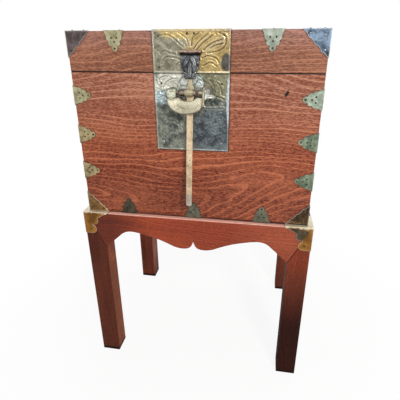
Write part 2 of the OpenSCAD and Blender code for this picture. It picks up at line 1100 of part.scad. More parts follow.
module lid_back() {
    color("sienna")
        in_place()
            difference() {
                board([chest_w, board_t, lid_h], [-half_w, half_d - board_t, seam_z]);
                lid_nail_holes();
                hinge_screw_places()
                    screw_hole();
            }
}

module lid_side(side) {
    color("sienna")
        in_place()
            difference() {
                mirror([side, 0, 0])
                    board([board_t, chest_d - 2 * board_t, lid_h],
                        [half_w - board_t, -half_d + board_t, seam_z]);
                lid_nail_holes();
            }
}

module lid_right() {
    lid_side(0);
}

module lid_left() {
    lid_side(1);
}

module lid_top() {
    color("peru")
        in_place()
            difference() {
                board([chest_w - 2 * board_t, chest_d - 2 * board_t, panel_t],
                    [-half_w + board_t, -half_d + board_t, top_z - panel_t]);
                lid_nail_holes();
            }
}

module upper_lock_plate() {
    color("darkkhaki")
        in_place() {
            on_front([0, -half_d, seam_z])
                raised_plate(plate_w, lid_h, upper_nails);
            translate([-plate_w / 2, -half_d - plate_t, top_z])
                cube([plate_w, plate_lap + plate_t, plate_t]);
        }
}

module lid_leaf_mounts() {
    color("darkseagreen")
        in_place()
            for (x = [-lid_leaf_x, lid_leaf_x])
                translate([x, -half_d, top_z])
                    folded_leaf();
}

module lid_corner_mounts() {
    color("slategray")
        in_place()
            lid_corners()
                corner_mount(true);
}

module lid_nails() {
    color("gold")
        in_place() {
            lid_nail_places()
                nail();
            lid_corners()
                corner_mount_nails(true);
        }
}

// Hasp: the bracket's two outer knuckles stay on the lid under one bar, the middle one swings

module hasp_knuckle(x, l) {
    translate([x, hasp_pin_y, 0])
        rotate([0, 90, 0])
            cylinder(r = barrel_r, h = l);
}

module hasp_bore() {
    translate([-barrel_l, hasp_pin_y, 0])
        rotate([0, 90, 0])
            cylinder(r = hasp_pin_r + pin_gap, h = 2 * barrel_l);
}

module hasp_bracket() {
    color("khaki")
        in_place()
            translate([0, -half_d, hasp_z])
                difference() {
                    union() {
                        for (s = [0, 1])
                            mirror([s, 0, 0]) {
                                hasp_knuckle(mid_l / 2 + side_gap / 2, mid_l - side_gap / 2);
                                translate([mid_l / 2 + side_gap / 2, -plate_t - bracket_t, 0])
                                    cube([mid_l - side_gap / 2, bracket_t, bracket_rise]);
                            }
                        translate([-barrel_l / 2, -plate_t - bracket_t, barrel_r + side_gap])
                            cube([barrel_l, bracket_t, bracket_rise - barrel_r - side_gap]);
                    }
                    hasp_bore();
                }
}

module hasp_pin() {
    color("silver")
        in_place()
            translate([-barrel_l / 2, -half_d + hasp_pin_y, hasp_z])
                rotate([0, 90, 0])
                    cylinder(r = hasp_pin_r, h = barrel_l);
}

// Swings a piece that is drawn locked, from the hasp's pin, to where it hangs at rest
module hasp_at_rest() {
    translate([0, -half_d + hasp_pin_y, hasp_z])
        rotate([-hasp_lean, 0, 0])
            translate([0, -hasp_pin_y, 0])
                children();
}

module hasp_strap() {
    neck_foot = -eye_drop + loop_r + 4;
    knuckle_w = mid_l - side_gap;
    eye_foot = -eye_drop - loop_r - 2;
    edge = [[knuckle_w / 2, 0], [knuckle_w / 2, shield_top - 6], [neck_w / 2, shield_top - 14],
        [neck_w / 2, neck_foot + 3], [strap_w / 2, neck_foot], [strap_w / 2, eye_foot],
        [blade_w / 2, eye_foot - 3], [tail_w / 2, -hasp_l + tail_r]];
    color("tan")
        in_place()
            hasp_at_rest()
                difference() {
                    union() {
                        hasp_knuckle(-knuckle_w / 2, knuckle_w);
                        on_front([0, strap_back, 0])
                            linear_extrude(height = strap_t) {
                                polygon(concat(edge, flip_x(edge)));
                                for (x = [-1, 1])
                                    translate([x * (tail_w / 2 - tail_r), -hasp_l + tail_r])
                                        circle(r = tail_r);
                                translate([-tail_w / 2 + tail_r, -hasp_l])
                                    square([tail_w - 2 * tail_r, 2 * tail_r]);
                            }
                        translate([-eye_w / 2, 0, -eye_drop])
                            rotate([90, 0, 90])
                                linear_extrude(height = eye_w) {
                                    translate([-loop_reach, 0])
                                        circle(r = loop_r);
                                    translate([-loop_reach, -loop_r])
                                        square([loop_reach + strap_front + eps, 2 * loop_r]);
                                }
                    }
                    hasp_bore();
                    translate([-eye_w, -loop_reach, -eye_drop])
                        rotate([0, 90, 0])
                            cylinder(r = rod_r + pin_gap, h = 2 * eye_w);
                }
}

// Right edge of the shield, from its top corner to its foot
function shield_edge(top, waist) = concat(
    [[shield_w / 2, top]],
    bezier([shield_w / 2, top], [shield_w / 2, top - shield_h * 0.45], waist),
    bezier(waist, [shield_foot_w / 2 + 2, top - shield_h * 0.72], [shield_foot_w / 2, top - shield_h]));

// The cast shield: a tapering plate with a crowned front
module hasp_shield() {
    crown_r = 42;
    edge = shield_edge(shield_top, [shield_w / 2 - 3, shield_top - shield_h * 0.6]);
    color("dimgray")
        in_place()
            hasp_at_rest()
                intersection() {
                    on_front([0, strap_front, 0])
                        linear_extrude(height = shield_t)
                            polygon(concat(edge, flip_x(edge)));
                    translate([0, shield_front + crown_r, shield_top - shield_h - 5])
                        cylinder(r = crown_r, h = shield_h + 10, $fn = 96);
                }
}

// Padlock: everything below is drawn from the middle of its rod
module padlock_at_rest() {
    hasp_at_rest()
        translate([0, -loop_reach, -eye_drop])
            children();
}

// A flat shape of the padlock, drawn as seen from the front and thick enough to be cut to form
module cast_blank() {
    translate([0, through / 2, 0])
        rotate([90, 0, 0])
            linear_extrude(height = through)
                children();
}

// Two crowned cheeks of radius r, thick apart at the height z
module cheeks(r, thick, z) {
    intersection_for (s = [-1, 1])
        translate([-through, s * (r - thick / 2), z])
            rotate([0, 90, 0])
                cylinder(r = r, h = 2 * through, $fn = 96);
}

// Underside of the belly, from the jaw to the middle of the lower fin
belly_edge = concat(
    bezier([jaw_x, -back_drop], [jaw_x, -belly_drop * 0.85], [-14, -belly_drop], 10),
    bezier([-14, -belly_drop], [6, -belly_drop - 0.8], [gap_half - 5, -belly_drop + 5.5], 6));

module belly_outline() {
    polygon(concat([[jaw_x, -back_drop]], belly_edge, [[gap_half - 1.5, -belly_drop + 6.5],
        [gap_half, -belly_drop + 9], [tail_x, -belly_drop + 13.5], [tail_x, -back_drop]]));
}

// The channel for the bar and its springs, open at both ends
module spring_channel() {
    w = bar_w + 2 * pin_gap;
    h = bar_h + 2 * spring_t + 2 * slot_gap;
    translate([tail_x - bar_l - 1, -w / 2, -bar_drop - h / 2])
        cube([bar_l + 2, w, h]);
}

module padlock_belly() {
    color("wheat")
        in_place()
            padlock_at_rest()
                difference() {
                    intersection() {
                        cast_blank()
                            belly_outline();
                        cheeks(cheek_r, fish_t, -belly_drop * 0.57);
                    }
                    spring_channel();
                    translate([jaw_x - 5, -key_hole / 2, -bar_drop - key_hole / 2])
                        cube([head_l, key_hole, key_hole]);
                    cast_blank()
                        translate([-2, back_r - 14])
                            circle(r = back_r, $fn = 96);
                }
}

// The head rises from the belly on the left and holds the rod's end in a socket
module head_outline() {
    crown = [head_x - head_l * 0.35, crown_rise];
    polygon(concat([[head_x, -back_drop], [head_x, crown_rise - 3.5]],
        bezier([head_x, crown_rise - 3.5], [head_x - 2, crown_rise + 0.2], crown, 5),
        bezier(crown, [head_x - head_l * 0.95, crown_rise - 1.5], [nose_x, -1], 7),
        [[nose_x - 0.6, -3], [jaw_x, -5], [jaw_x, -back_drop]]));
}

module padlock_head() {
    color("wheat")
        in_place()
            padlock_at_rest()
                difference() {
                    intersection() {
                        cast_blank()
                            head_outline();
                        cheeks(head_cheek_r, fish_t - 1.2, -4);
                    }
                    translate([head_x - socket_l, 0, 0])
                        rotate([0, 90, 0])
                            cylinder(r = rod_r + pin_gap, h = 2 * socket_l);
                }
}

// The shackle: the rod, its end plate and the bar that carries the springs
module shackle_rod() {
    rod_x = head_x - socket_l + side_gap;
    color("khaki")
        in_place()
            padlock_at_rest() {
                translate([rod_x, 0, 0])
                    rotate([0, 90, 0])
                        cylinder(r = rod_r, h = plate_x - rod_x + 1);
                translate([plate_x, -end_plate_w / 2, -bar_drop - 4])
                    cube([end_plate_t, end_plate_w, bar_drop + 9]);
                translate([tail_x - bar_l + 1, -bar_w / 2, -bar_drop - bar_h / 2])
                    cube([bar_l, bar_w, bar_h]);
            }
}

// Forked tail, from the end plate to its tip
module tail_outline() {
    fork = [fin_x + tail_l * 0.45, -0.6];
    upper_tip = [fin_x + tail_l * 0.42, 9.5];
    lower_tip = [fin_x + tail_l, -6.8];
    under = [fin_x + tail_l * 0.3, -9.5];
    polygon(concat([[fin_x, 5], upper_tip],
        bezier(upper_tip, [fin_x + tail_l * 0.62, 4], fork, 5),
        bezier(fork, [fin_x + tail_l * 0.8, -2.5], lower_tip, 5),
        bezier(lower_tip, [fin_x + tail_l * 0.7, -9.5], under, 4),
        bezier(under, [fin_x + 2, -12], [fin_x, -17], 4)));
}

module padlock_tail() {
    tip_t = 2.2;
    color("wheat")
        in_place()
            padlock_at_rest()
                intersection() {
                    cast_blank()
                        tail_outline();
                    translate([fin_x, 0, -through / 2])
                        linear_extrude(height = through)
                            polygon([[0, -end_plate_w / 2], [tail_l, -tip_t / 2], [tail_l, tip_t / 2],
                                [0, end_plate_w / 2]]);
                }
}

// Two leaf springs, riveted to the inner end of the bar, pressed flat as the key holds them
module padlock_springs() {
    color("silver")
        in_place()
            padlock_at_rest()
                for (z = [bar_h / 2, -bar_h / 2 - spring_t])
                    translate([tail_x - bar_l + 1.5, -bar_w / 2, -bar_drop + z])
                        cube([bar_l - 8, bar_w, spring_t]);
}

leg_front_left();
leg_front_right();
leg_back_left();
leg_back_right();
apron_front();
apron_back();
apron_left();
apron_right();
bearer_front();
bearer_back();
bearer_left();
bearer_right();
stand_corner_caps();
stand_nails();
case_front();
case_back();
case_left();
case_right();
case_floor();
lower_lock_plate();
staple_left();
staple_right();
case_leaf_mounts();
case_corner_mounts();
case_nails();
case_hinge_leaves();
case_hinge_screws();
hinge_pins();
bail_posts();
bail_washers();
lid_front();
lid_back();
lid_left();
lid_right();
lid_top();
upper_lock_plate();
lid_leaf_mounts();
lid_corner_mounts();
lid_nails();
lid_hinge_leaves();
lid_hinge_screws();
hasp_bracket();
hasp_pin();
hasp_strap();
hasp_shield();
padlock_belly();
padlock_head();
shackle_rod();
padlock_tail();
padlock_springs();
bail_left();
bail_right();
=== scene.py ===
"""Looks of the brass-bound chest on its stand: materials made of nodes, pieces built in mesh code on the
CAD frame, soft studio light and the photograph's camera. Lengths are metres, or millimetres where a
comment says so; +Z is up and -Y is the front."""
import json
import math

import bmesh
import bpy
import numpy as np
from mathutils import Matrix, Vector
from mathutils.kdtree import KDTree


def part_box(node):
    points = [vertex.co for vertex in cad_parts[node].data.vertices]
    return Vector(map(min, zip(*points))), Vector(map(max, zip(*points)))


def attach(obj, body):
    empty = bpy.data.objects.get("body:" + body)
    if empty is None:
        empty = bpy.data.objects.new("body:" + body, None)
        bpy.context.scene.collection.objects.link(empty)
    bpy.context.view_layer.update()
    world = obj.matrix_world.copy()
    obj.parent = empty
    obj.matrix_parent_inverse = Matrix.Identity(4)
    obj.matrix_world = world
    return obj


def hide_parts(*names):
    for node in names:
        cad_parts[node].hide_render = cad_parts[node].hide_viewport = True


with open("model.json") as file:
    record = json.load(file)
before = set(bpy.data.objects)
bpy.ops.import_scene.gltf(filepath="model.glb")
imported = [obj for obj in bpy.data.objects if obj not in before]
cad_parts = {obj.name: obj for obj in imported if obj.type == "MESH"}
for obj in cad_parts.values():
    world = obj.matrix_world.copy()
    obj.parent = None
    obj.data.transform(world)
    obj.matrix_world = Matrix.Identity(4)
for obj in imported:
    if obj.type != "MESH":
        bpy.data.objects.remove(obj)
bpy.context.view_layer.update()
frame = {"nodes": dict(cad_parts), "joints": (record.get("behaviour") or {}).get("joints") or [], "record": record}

MM = 0.001
BLACK = (0.0, 0.0, 0.0, 1.0)
WHITE = (1.0, 1.0, 1.0, 1.0)
BODIES = frame["record"]["behaviour"]["bodies"]
BODY_OF = {node: body for body, nodes in BODIES.items() for node in nodes}
JOINTS = {joint["name"]: joint for joint in frame["joints"]}

# Planes and levels that several pieces share, from the CAD frame
FRONT_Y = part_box("case_front")[0].y
SEAM_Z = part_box("lid_front")[0].z
TOP_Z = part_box("lid_front")[1].z
LEG_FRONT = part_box("leg_front_left")[0].y
LEG_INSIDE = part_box("leg_front_left")[1].x
HASP_PIN = Vector(JOINTS["hasp_swing"]["pos_m"])
ROD = Vector(JOINTS["padlock_swing"]["pos_m"])
# The hasp and the padlock hang swung out from the front by this angle
HASP_LEAN = math.radians(8.074)


def srgb(red, green, blue):
    """A colour given as 0 to 255 on screen, as the linear colour that a shader takes."""
    parts = [value / 255 for value in (red, green, blue)]
    return tuple(v / 12.92 if v <= 0.04045 else ((v + 0.055) / 1.055) ** 2.4 for v in parts) + (1.0,)


# Shader building

class Nodes:
    """A node tree written as short calls, most of which return an output socket."""

    def __init__(self, owner):
        owner.use_nodes = True
        self.tree = owner.node_tree
        self.tree.nodes.clear()

    def node(self, kind, inputs=None, **settings):
        made = self.tree.nodes.new(kind)
        for key, value in settings.items():
            setattr(made, key, value)
        for key, value in (inputs or {}).items():
            self.put(made.inputs[key], value)
        return made

    def put(self, socket, value):
        if isinstance(value, bpy.types.NodeSocket):
            self.tree.links.new(value, socket)
        else:
            socket.default_value = value

    def math(self, operation, first, second=0.0, clamp=False):
        made = self.node("ShaderNodeMath", {0: first, 1: second}, operation=operation, use_clamp=clamp)
        return made.outputs[0]

    def add(self, *values):
        total = values[0]
        for value in values[1:]:
            total = self.math("ADD", total, value)
        return total

    def times(self, first, second):
        return self.math("MULTIPLY", first, second)

    def inverse(self, share):
        return self.math("SUBTRACT", 1.0, share)

    def sway(self, noise, size):
        """A noise's swing about its mean, brought to a size."""
        return self.times(self.add(noise, -0.5), size)

    def hypot(self, first, second):
        return self.math("SQRT", self.add(self.times(first, first), self.times(second, second)))

    def split(self, vector):
        return self.node("ShaderNodeSeparateXYZ", {0: vector}).outputs[:3]

    def join(self, x, y, z):
        return self.node("ShaderNodeCombineXYZ", {0: x, 1: y, 2: z}).outputs[0]

    def noise(self, vector, scale, detail=3.0, roughness=0.5, distortion=0.0):
        inputs = {"Vector": vector, "Scale": scale, "Detail": detail, "Roughness": roughness,
                  "Distortion": distortion}
        return self.node("ShaderNodeTexNoise", inputs).outputs["Fac"]

    def band(self, value, low, high):
        """0 where value is at low, 1 at high and past it, with a smooth step between."""
        made = self.node("ShaderNodeMapRange", {"Value": value, "From Min": low, "From Max": high},
                         interpolation_type="SMOOTHSTEP")
        return made.outputs["Result"]

    def crevice_shade_and_dirt(self, distance, low, high):
        """1 in corners and beside raised edges, 0 in the open: the share of painted shade there, with the dirt and
        wax that stay there.
        """
        made = self.node("ShaderNodeAmbientOcclusion", {"Distance": distance}, samples=6)
        return self.inverse(self.band(made.outputs["AO"], low, high))

    def edge(self, distance):
        """1 on the very edges of a piece, fading to 0 at about the distance from them."""
        rounded = self.node("ShaderNodeBevel", {"Radius": distance}, samples=6).outputs["Normal"]
        flat = self.node("ShaderNodeNewGeometry").outputs["Normal"]
        along = self.node("ShaderNodeVectorMath", {0: rounded, 1: flat}, operation="DOT_PRODUCT")
        return self.band(along.outputs["Value"], 0.99, 0.90)

    def mix(self, first, second, factor):
        made = self.node("ShaderNodeMix", data_type="RGBA", clamp_factor=True)
        self.put(made.inputs[0], factor)
        self.put(made.inputs[6], first)
        self.put(made.inputs[7], second)
        return made.outputs[2]

    def bump(self, height, distance, strength, normal=None):
        inputs = {"Height": height, "Distance": distance, "Strength": strength}
        if normal is not None:
            inputs["Normal"] = normal
        return self.node("ShaderNodeBump", inputs).outputs["Normal"]

    def blend(self, share, first, second):
        """Mixes two whole shaders."""
        return self.node("ShaderNodeMixShader", {0: share, 1: first, 2: second}).outputs[0]


class Shader(Nodes):
    """The nodes of a material, which know the place on the object."""

    def __init__(self, name):
        self.material = bpy.data.materials.new(name)
        super().__init__(self.material)
        self.place = self.node("ShaderNodeTexCoord").outputs["Object"]
        self.axis = dict(zip("xyz", self.split(self.place)))

    def reach(self, bands):
        """The product of steps along the axes, each given as (axis, from, to)."""
        total = 1.0
        for axis, low, high in bands:
            total = self.times(self.band(self.axis[axis], low, high), total)
        return total

    def finish(self, **inputs):
        """Ends the tree with a Principled shader; underscores in the names stand for spaces."""
        made = self.node("ShaderNodeBsdfPrincipled", {k.replace("_", " "): v for k, v in inputs.items()})
        self.node("ShaderNodeOutputMaterial", {"Surface": made.outputs[0]})
        return self.material


# Dark marks on the wood: each function gives their share, from 0 to 1

KNOT_X, KNOT_Z = 0.1676, 0.6411


def knot(s):
    """A small knot on the case's front at the right, drawn long on the slant."""
    x, z = s.add(s.axis["x"], -KNOT_X), s.add(s.axis["z"], -KNOT_Z)
    run = s.add(s.times(x, 80.0), s.times(z, 150.0))
    rise = s.add(s.times(x, 300.0), s.times(z, -150.0))
    return s.inverse(s.band(s.hypot(run, rise), 0.72, 1.1))


def seam_shade_and_grime(s):
    """Painted shade of the gap, with grime, on the arrises that meet where the lid closes, but not on the level
    rims between them.
    """
    apart = s.math("ABSOLUTE", s.add(s.axis["z"], -SEAM_Z))
    level = s.math("ABSOLUTE", s.split(s.node("ShaderNodeTexCoord").outputs["Normal"])[2])
    return s.times(s.band(apart, 0.0017, 0.0009), s.band(level, 0.97, 0.85))


def mitre_line(s):
    """The front's joints between apron and legs, from the rim's corners to the legs' inner edges."""
    low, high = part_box("apron_front")
    run, rise = LEG_INSIDE - low.x, high.z - low.z
    length = math.hypot(run, rise)
    out = s.times(s.add(s.math("ABSOLUTE", s.axis["x"]), LEG_INSIDE), rise / length)
    up = s.times(s.add(s.axis["z"], -low.z), -run / length)
    near = s.band(s.math("ABSOLUTE", s.add(out, up)), 0.0014, 0.0004)
    return s.times(s.times(near, s.band(s.axis["y"], LEG_FRONT + 0.002, LEG_FRONT + 0.0005)), 0.8)


KNOT_MARK = (16, 7, 9), knot
SEAM_MARK = (34, 17, 15), seam_shade_and_grime
MITRE_MARK = (46, 18, 14), mitre_line


# Wood

def wood(name, axes, tones, pith, tilt=0.1, rings=110.0, seed=0.0, gloss=0.4, painted_light_and_tones=(), marks=(),
         sweep=False, shine=0.32, wave=0.005, figure=1.0):
    """Stained board with tones (light, dark). axes names the coordinates along the grain, across it and
    into the board; pith is the place of the tree's middle across and into it, rings the year rings in a
    metre, and tilt makes them arch. wave is how far they stray, figure how strongly they show, and sweep
    bows them as on the case's front. The parts in other tones, most of them painted light and shade, come
    as (light, dark, steps along the axes); marks are tones with the function that gives their share. gloss
    is the roughness, and shine the strength of the varnish."""
    s = Shader(name)
    along, across, deep = (s.axis[axis] for axis in axes)
    offset = s.add(s.times(deep, 7.0), seed)

    def grain(run, over, third, detail):
        """Noise at a scale along the grain, one across it and a third coordinate."""
        return s.noise(s.join(s.times(along, run), s.times(across, over), third), 1.0, detail)

    # Year rings round the pith, of which only some show
    side = s.add(across, -pith[0], s.sway(grain(2.6, 8.0, offset, 2.0), 0.10))
    if sweep:
        side = s.add(side, s.times(s.times(s.band(along, -0.03, 0.23), s.band(across, 0.60, 0.46)), -0.075))
    waver = grain(16.0, 42.0, s.times(offset, 4.0), 2.0)
    turn = s.times(s.hypot(side, s.add(deep, -pith[1], s.times(along, tilt), s.sway(waver, wave))), rings)
    ring = s.math("FRACT", turn)
    line = s.times(s.band(ring, 0.62, 0.94), s.inverse(s.band(ring, 0.94, 1.0)))
    year = s.noise(s.join(s.times(turn, 0.37), seed, 0.0), 1.0, 1.0)
    line = s.times(line, s.band(year, 0.34, 0.62))

    # Fibres, long streaks, open pores and the uneven stain
    fibre = grain(190.0, 780.0, s.times(deep, 780.0), 2.0)
    streak = grain(4.0, 90.0, s.add(s.times(deep, 90.0), seed), 4.0)
    pores = s.band(grain(95.0, 1050.0, s.times(deep, 1050.0), 1.0), 0.56, 0.68)
    blotch = grain(4.5, 8.0, offset, 3.0)

    light, dark = (srgb(*tone) for tone in tones)
    # Parts in other tones, most of them painted light and shade
    for pale, deep_tone, bands in painted_light_and_tones:
        reach = s.reach(bands)
        light, dark = s.mix(light, srgb(*pale), reach), s.mix(dark, srgb(*deep_tone), reach)
    shade = s.add(s.times(line, -0.85 * figure), s.sway(streak, 0.6), s.sway(fibre, 2.4 * figure),
                  s.sway(blotch, 1.1), 0.5 + 0.14 * figure)
    colour = s.mix(light, dark, s.math("ADD", shade, 0.0, clamp=True))
    colour = s.mix(colour, s.mix(dark, BLACK, 0.55), s.times(pores, 0.42))
    for tone, share in marks:
        colour = s.mix(colour, srgb(*tone), share(s))
    # Painted shade in corners and beside the mounts, with the dirt and wax there
    colour = s.mix(colour, srgb(36, 19, 16), s.times(s.crevice_shade_and_dirt(0.0045, 0.6, 0.985), 0.88))

    height = s.add(s.times(fibre, 0.4), s.times(pores, -0.8), s.times(line, 0.2))
    rough = s.add(gloss, s.sway(fibre, 0.22), s.times(pores, 0.2), s.sway(blotch, 0.15))
    return s.finish(Base_Color=colour, Roughness=rough, Normal=s.bump(height, 0.00025, 0.45),
                    Specular_IOR_Level=shine, Coat_Weight=shine / 4, Coat_Roughness=0.24)


CASE_TONES = (180, 105, 71), (98, 27, 6)
# The lid's tones greyer and paler than the case's, with a painted sheen in them
LID_TONES = (172, 116, 88), (104, 60, 42)
STAND_TONES = (172, 75, 42), (104, 36, 19)

# Steps for the painted light and tones, as (axis, from, to): sides of the object, and faces of the legs
LEFT, RIGHT = ("x", 0.0, -0.1), ("x", 0.0, 0.1)
FRONT, BACK = ("y", 0.0, -0.1), ("y", 0.0, 0.1)
LEG_FACE = ("y", LEG_FRONT + 0.004, LEG_FRONT + 0.001)
BEHIND_FACE = ("y", LEG_FRONT + 0.001, LEG_FRONT + 0.004)
LEFT_INNER_FACE = ("x", LEG_INSIDE - 0.004, LEG_INSIDE - 0.001)

# The case paler above its middle and redder below it, a painted sheen, and nearly black along its foot at the
# right, a painted shadow
CASE_SHEEN = [((184, 130, 105), (113, 52, 28), [("z", 0.52, 0.66)]),
               ((170, 95, 64), (78, 19, 4), [("z", 0.52, 0.44)])]
CASE_FOOT_SHADOW = (40, 16, 10), (24, 9, 6), [("z", 0.3930, 0.3914), ("x", 0.0, 0.12)]
# The lid paler towards its top edge: a painted sheen
LID_SHEEN = (176, 128, 112), (118, 78, 66), [("z", 0.70, 0.745)]
# The apron darker at the left and paler at the right, with a painted highlight on its top edge
APRON_TONES_AND_HIGHLIGHT = [((126, 50, 28), (72, 24, 12), [("x", -0.08, -0.19)]),
                ((176, 86, 56), (116, 50, 29), [("x", 0.05, 0.16)]),
                ((236, 186, 170), (214, 156, 140), [("z", 0.3872, 0.3890)])]
# The legs, each face as the photograph's light shows it: painted light and shade, by face and height, and nearly
# black at the feet's ends
LEG_LIGHT_AND_SHADE = [((150, 66, 42), (92, 34, 22), [("z", 0.24, 0.36)]),
              ((106, 52, 34), (58, 24, 15), [LEFT, LEG_FACE]),
              ((176, 98, 64), (104, 54, 36), [LEFT_INNER_FACE, LEFT, BEHIND_FACE, FRONT]),
              ((180, 94, 62), (112, 52, 36), [LEFT, BACK, ("z", 0.06, 0.26)]),
              ((200, 134, 116), (150, 92, 78), [LEFT_INNER_FACE, LEFT, BACK, ("z", -0.02, 0.12)]),
              ((104, 50, 36), (60, 27, 20), [RIGHT, BACK, ("z", 0.2, 0.0)]),
              ((62, 22, 12), (30, 10, 6), [("z", 0.31, 0.13), ("x", 0.05, 0.2), FRONT]),
              ((42, 20, 15), (18, 9, 7), [("z", 0.012, 0.005)])]

WOODS = {
    "case_x": wood("case_wood_x", "xzy", CASE_TONES, (0.425, -0.115), -0.13, seed=1.0, sweep=True, wave=0.012,
                   painted_light_and_tones=CASE_SHEEN + [CASE_FOOT_SHADOW], marks=(KNOT_MARK, SEAM_MARK)),
    "case_y": wood("case_wood_y", "yzx", CASE_TONES, (0.80, 0.07), rings=100.0, seed=5.0,
                   painted_light_and_tones=CASE_SHEEN, marks=(SEAM_MARK,)),
    "lid_x": wood("lid_wood_x", "xzy", LID_TONES, (0.60, -0.11), 0.14, seed=9.0, wave=0.010,
                  painted_light_and_tones=[LID_SHEEN], marks=(SEAM_MARK,)),
    "lid_y": wood("lid_wood_y", "yzx", LID_TONES, (0.8, 0.1), seed=13.0, marks=(SEAM_MARK,)),
    "lid_top": wood("lid_top_wood", "xyz", LID_TONES, (0.05, 0.66), 0.14, seed=17.0),
    "stand_x": wood("stand_wood_x", "xzy", STAND_TONES, (0.2, -0.3), 0.05, 190.0, 21.0, 0.36,
                    painted_light_and_tones=APRON_TONES_AND_HIGHLIGHT, marks=(MITRE_MARK,), figure=0.6),
    "stand_y": wood("stand_wood_y", "yzx", STAND_TONES, (0.2, 0.4), 0.05, 190.0, 25.0, 0.36, figure=0.6),
    "leg": wood("leg_wood", "zxy", ((128, 62, 40), (70, 29, 19)), (1.0, 0.3), 0.04, 200.0, 29.0, 0.38,
                painted_light_and_tones=LEG_LIGHT_AND_SHADE, marks=(MITRE_MARK,), shine=0.14, figure=0.6),
    "inner": wood("inner_wood", "xyz", ((176, 136, 92), (120, 84, 52)), (0.3, 0.5), 0.1, 120.0, 33.0, 0.6),
}


# Brass, steel and dirt

# Patches in other tones on some of the brasses, among them painted reflections, highlights and shadows: (clean,
# aged, (x, z) of the middle, radii)
TONE_AND_LIGHT_PATCHES = {
    # Painted reflections: yellow at the right and along the top edge, a dark spot at the right; and a bright lower
    # edge, a painted highlight
    "upper_plate_brass": [
        ((205, 181, 122), (152, 126, 76), (0.036, 0.718), (0.044, 0.052)),
        ((212, 188, 128), (160, 136, 86), (-0.018, 0.742), (0.044, 0.013)),
        ((104, 100, 94), (48, 48, 50), (0.062, 0.692), (0.010, 0.016)),
        ((238, 220, 168), (206, 182, 124), (0.08, 0.6752), (0.1, 0.0022))],
    # Painted reflections: blue-grey below and olive above at the right, pale above at the left; and a bright right
    # edge, a painted highlight
    "lower_plate_brass": [
        ((124, 134, 138), (56, 64, 72), (0.044, 0.566), (0.050, 0.050)),
        ((160, 158, 130), (116, 114, 92), (0.044, 0.656), (0.034, 0.030)),
        ((236, 236, 222), (190, 192, 176), (-0.036, 0.654), (0.038, 0.026)),
        ((206, 222, 224), (150, 170, 172), (-0.054, 0.632), (0.022, 0.014)),
        ((224, 228, 222), (176, 182, 178), (-0.002, 0.653), (0.024, 0.018)),
        ((204, 218, 214), (148, 166, 162), (0.013, 0.657), (0.010, 0.014)),
        ((222, 238, 246), (182, 206, 220), (0.0672, 0.626), (0.0040, 0.042))],
    # Greener at the right, pale on the lid, and darker along the foot
    "leaf_brass": [
        ((144, 158, 136), (84, 98, 78), (0.23, 0.56), (0.22, 0.25)),
        ((178, 188, 176), (126, 136, 120), (0.16, 0.743), (0.12, 0.05)),
        ((116, 116, 98), (60, 64, 54), (0.0, 0.39), (0.19, 0.05)),
        ((88, 80, 62), (42, 38, 30), (-0.14, 0.40), (0.05, 0.04)),
        ((180, 164, 122), (108, 90, 60), (-0.23, 0.48), (0.05, 0.11)),
        ((176, 190, 172), (120, 134, 116), (0.22, 0.632), (0.06, 0.045))],
    # One patch for each corner, and a painted shadow along the foot of the right one
    "corner_brass": [
        ((122, 108, 108), (74, 64, 64), (-0.23, 0.74), (0.1, 0.08)),
        ((142, 166, 192), (36, 46, 60), (0.23, 0.74), (0.1, 0.08)),
        ((176, 136, 82), (112, 82, 54), (-0.23, 0.41), (0.1, 0.08)),
        ((104, 80, 54), (54, 42, 32), (0.23, 0.41), (0.1, 0.08)),
        ((24, 18, 15), (12, 9, 8), (0.21, 0.3905), (0.06, 0.0026))],
    # Dark on the inner half of the right cap, and a painted highlight on the level tops
    "cap_brass": [
        ((104, 90, 68), (56, 50, 40), (0.203, 0.374), (0.033, 0.017)),
        ((255, 246, 218), (226, 210, 170), (0.0, 0.394), (0.5, 0.0080))],
    # Silvery at the lower plate's foot and on the lid's right corner
    "nail_brass": [
        ((206, 214, 212), (138, 146, 144), (0.0, 0.555), (0.09, 0.02)),
        ((222, 230, 238), (118, 128, 138), (0.215, 0.73), (0.035, 0.03))],
    # Dark at the hinge under a painted highlight line, dull round the eye and at the tail
    "strap_brass": [
        ((60, 54, 52), (30, 26, 26), (0.0, 0.706), (0.03, 0.014)),
        ((214, 190, 170), (160, 134, 118), (0.0, HASP_PIN.z + 0.0036), (0.3, 0.0026)),
        ((192, 182, 150), (124, 112, 88), (0.0, 0.655), (0.03, 0.020)),
        ((190, 180, 164), (128, 116, 102), (0.0, 0.437), (0.03, 0.024))],
    # Paler towards the end plate
    "rod_brass": [((218, 212, 186), (168, 160, 132), (0.052, 0.635), (0.032, 0.08))],
    # A painted highlight along the barrel's top
    "barrel_bronze": [((236, 212, 190), (176, 146, 128), (0.0, HASP_PIN.z + 0.0046), (0.3, 0.0029))],
    # Greyer round the eye
    "fish_brass": [((208, 210, 188), (144, 147, 126), (ROD.x - 0.032, ROD.z + 0.002), (0.012, 0.011))],
}


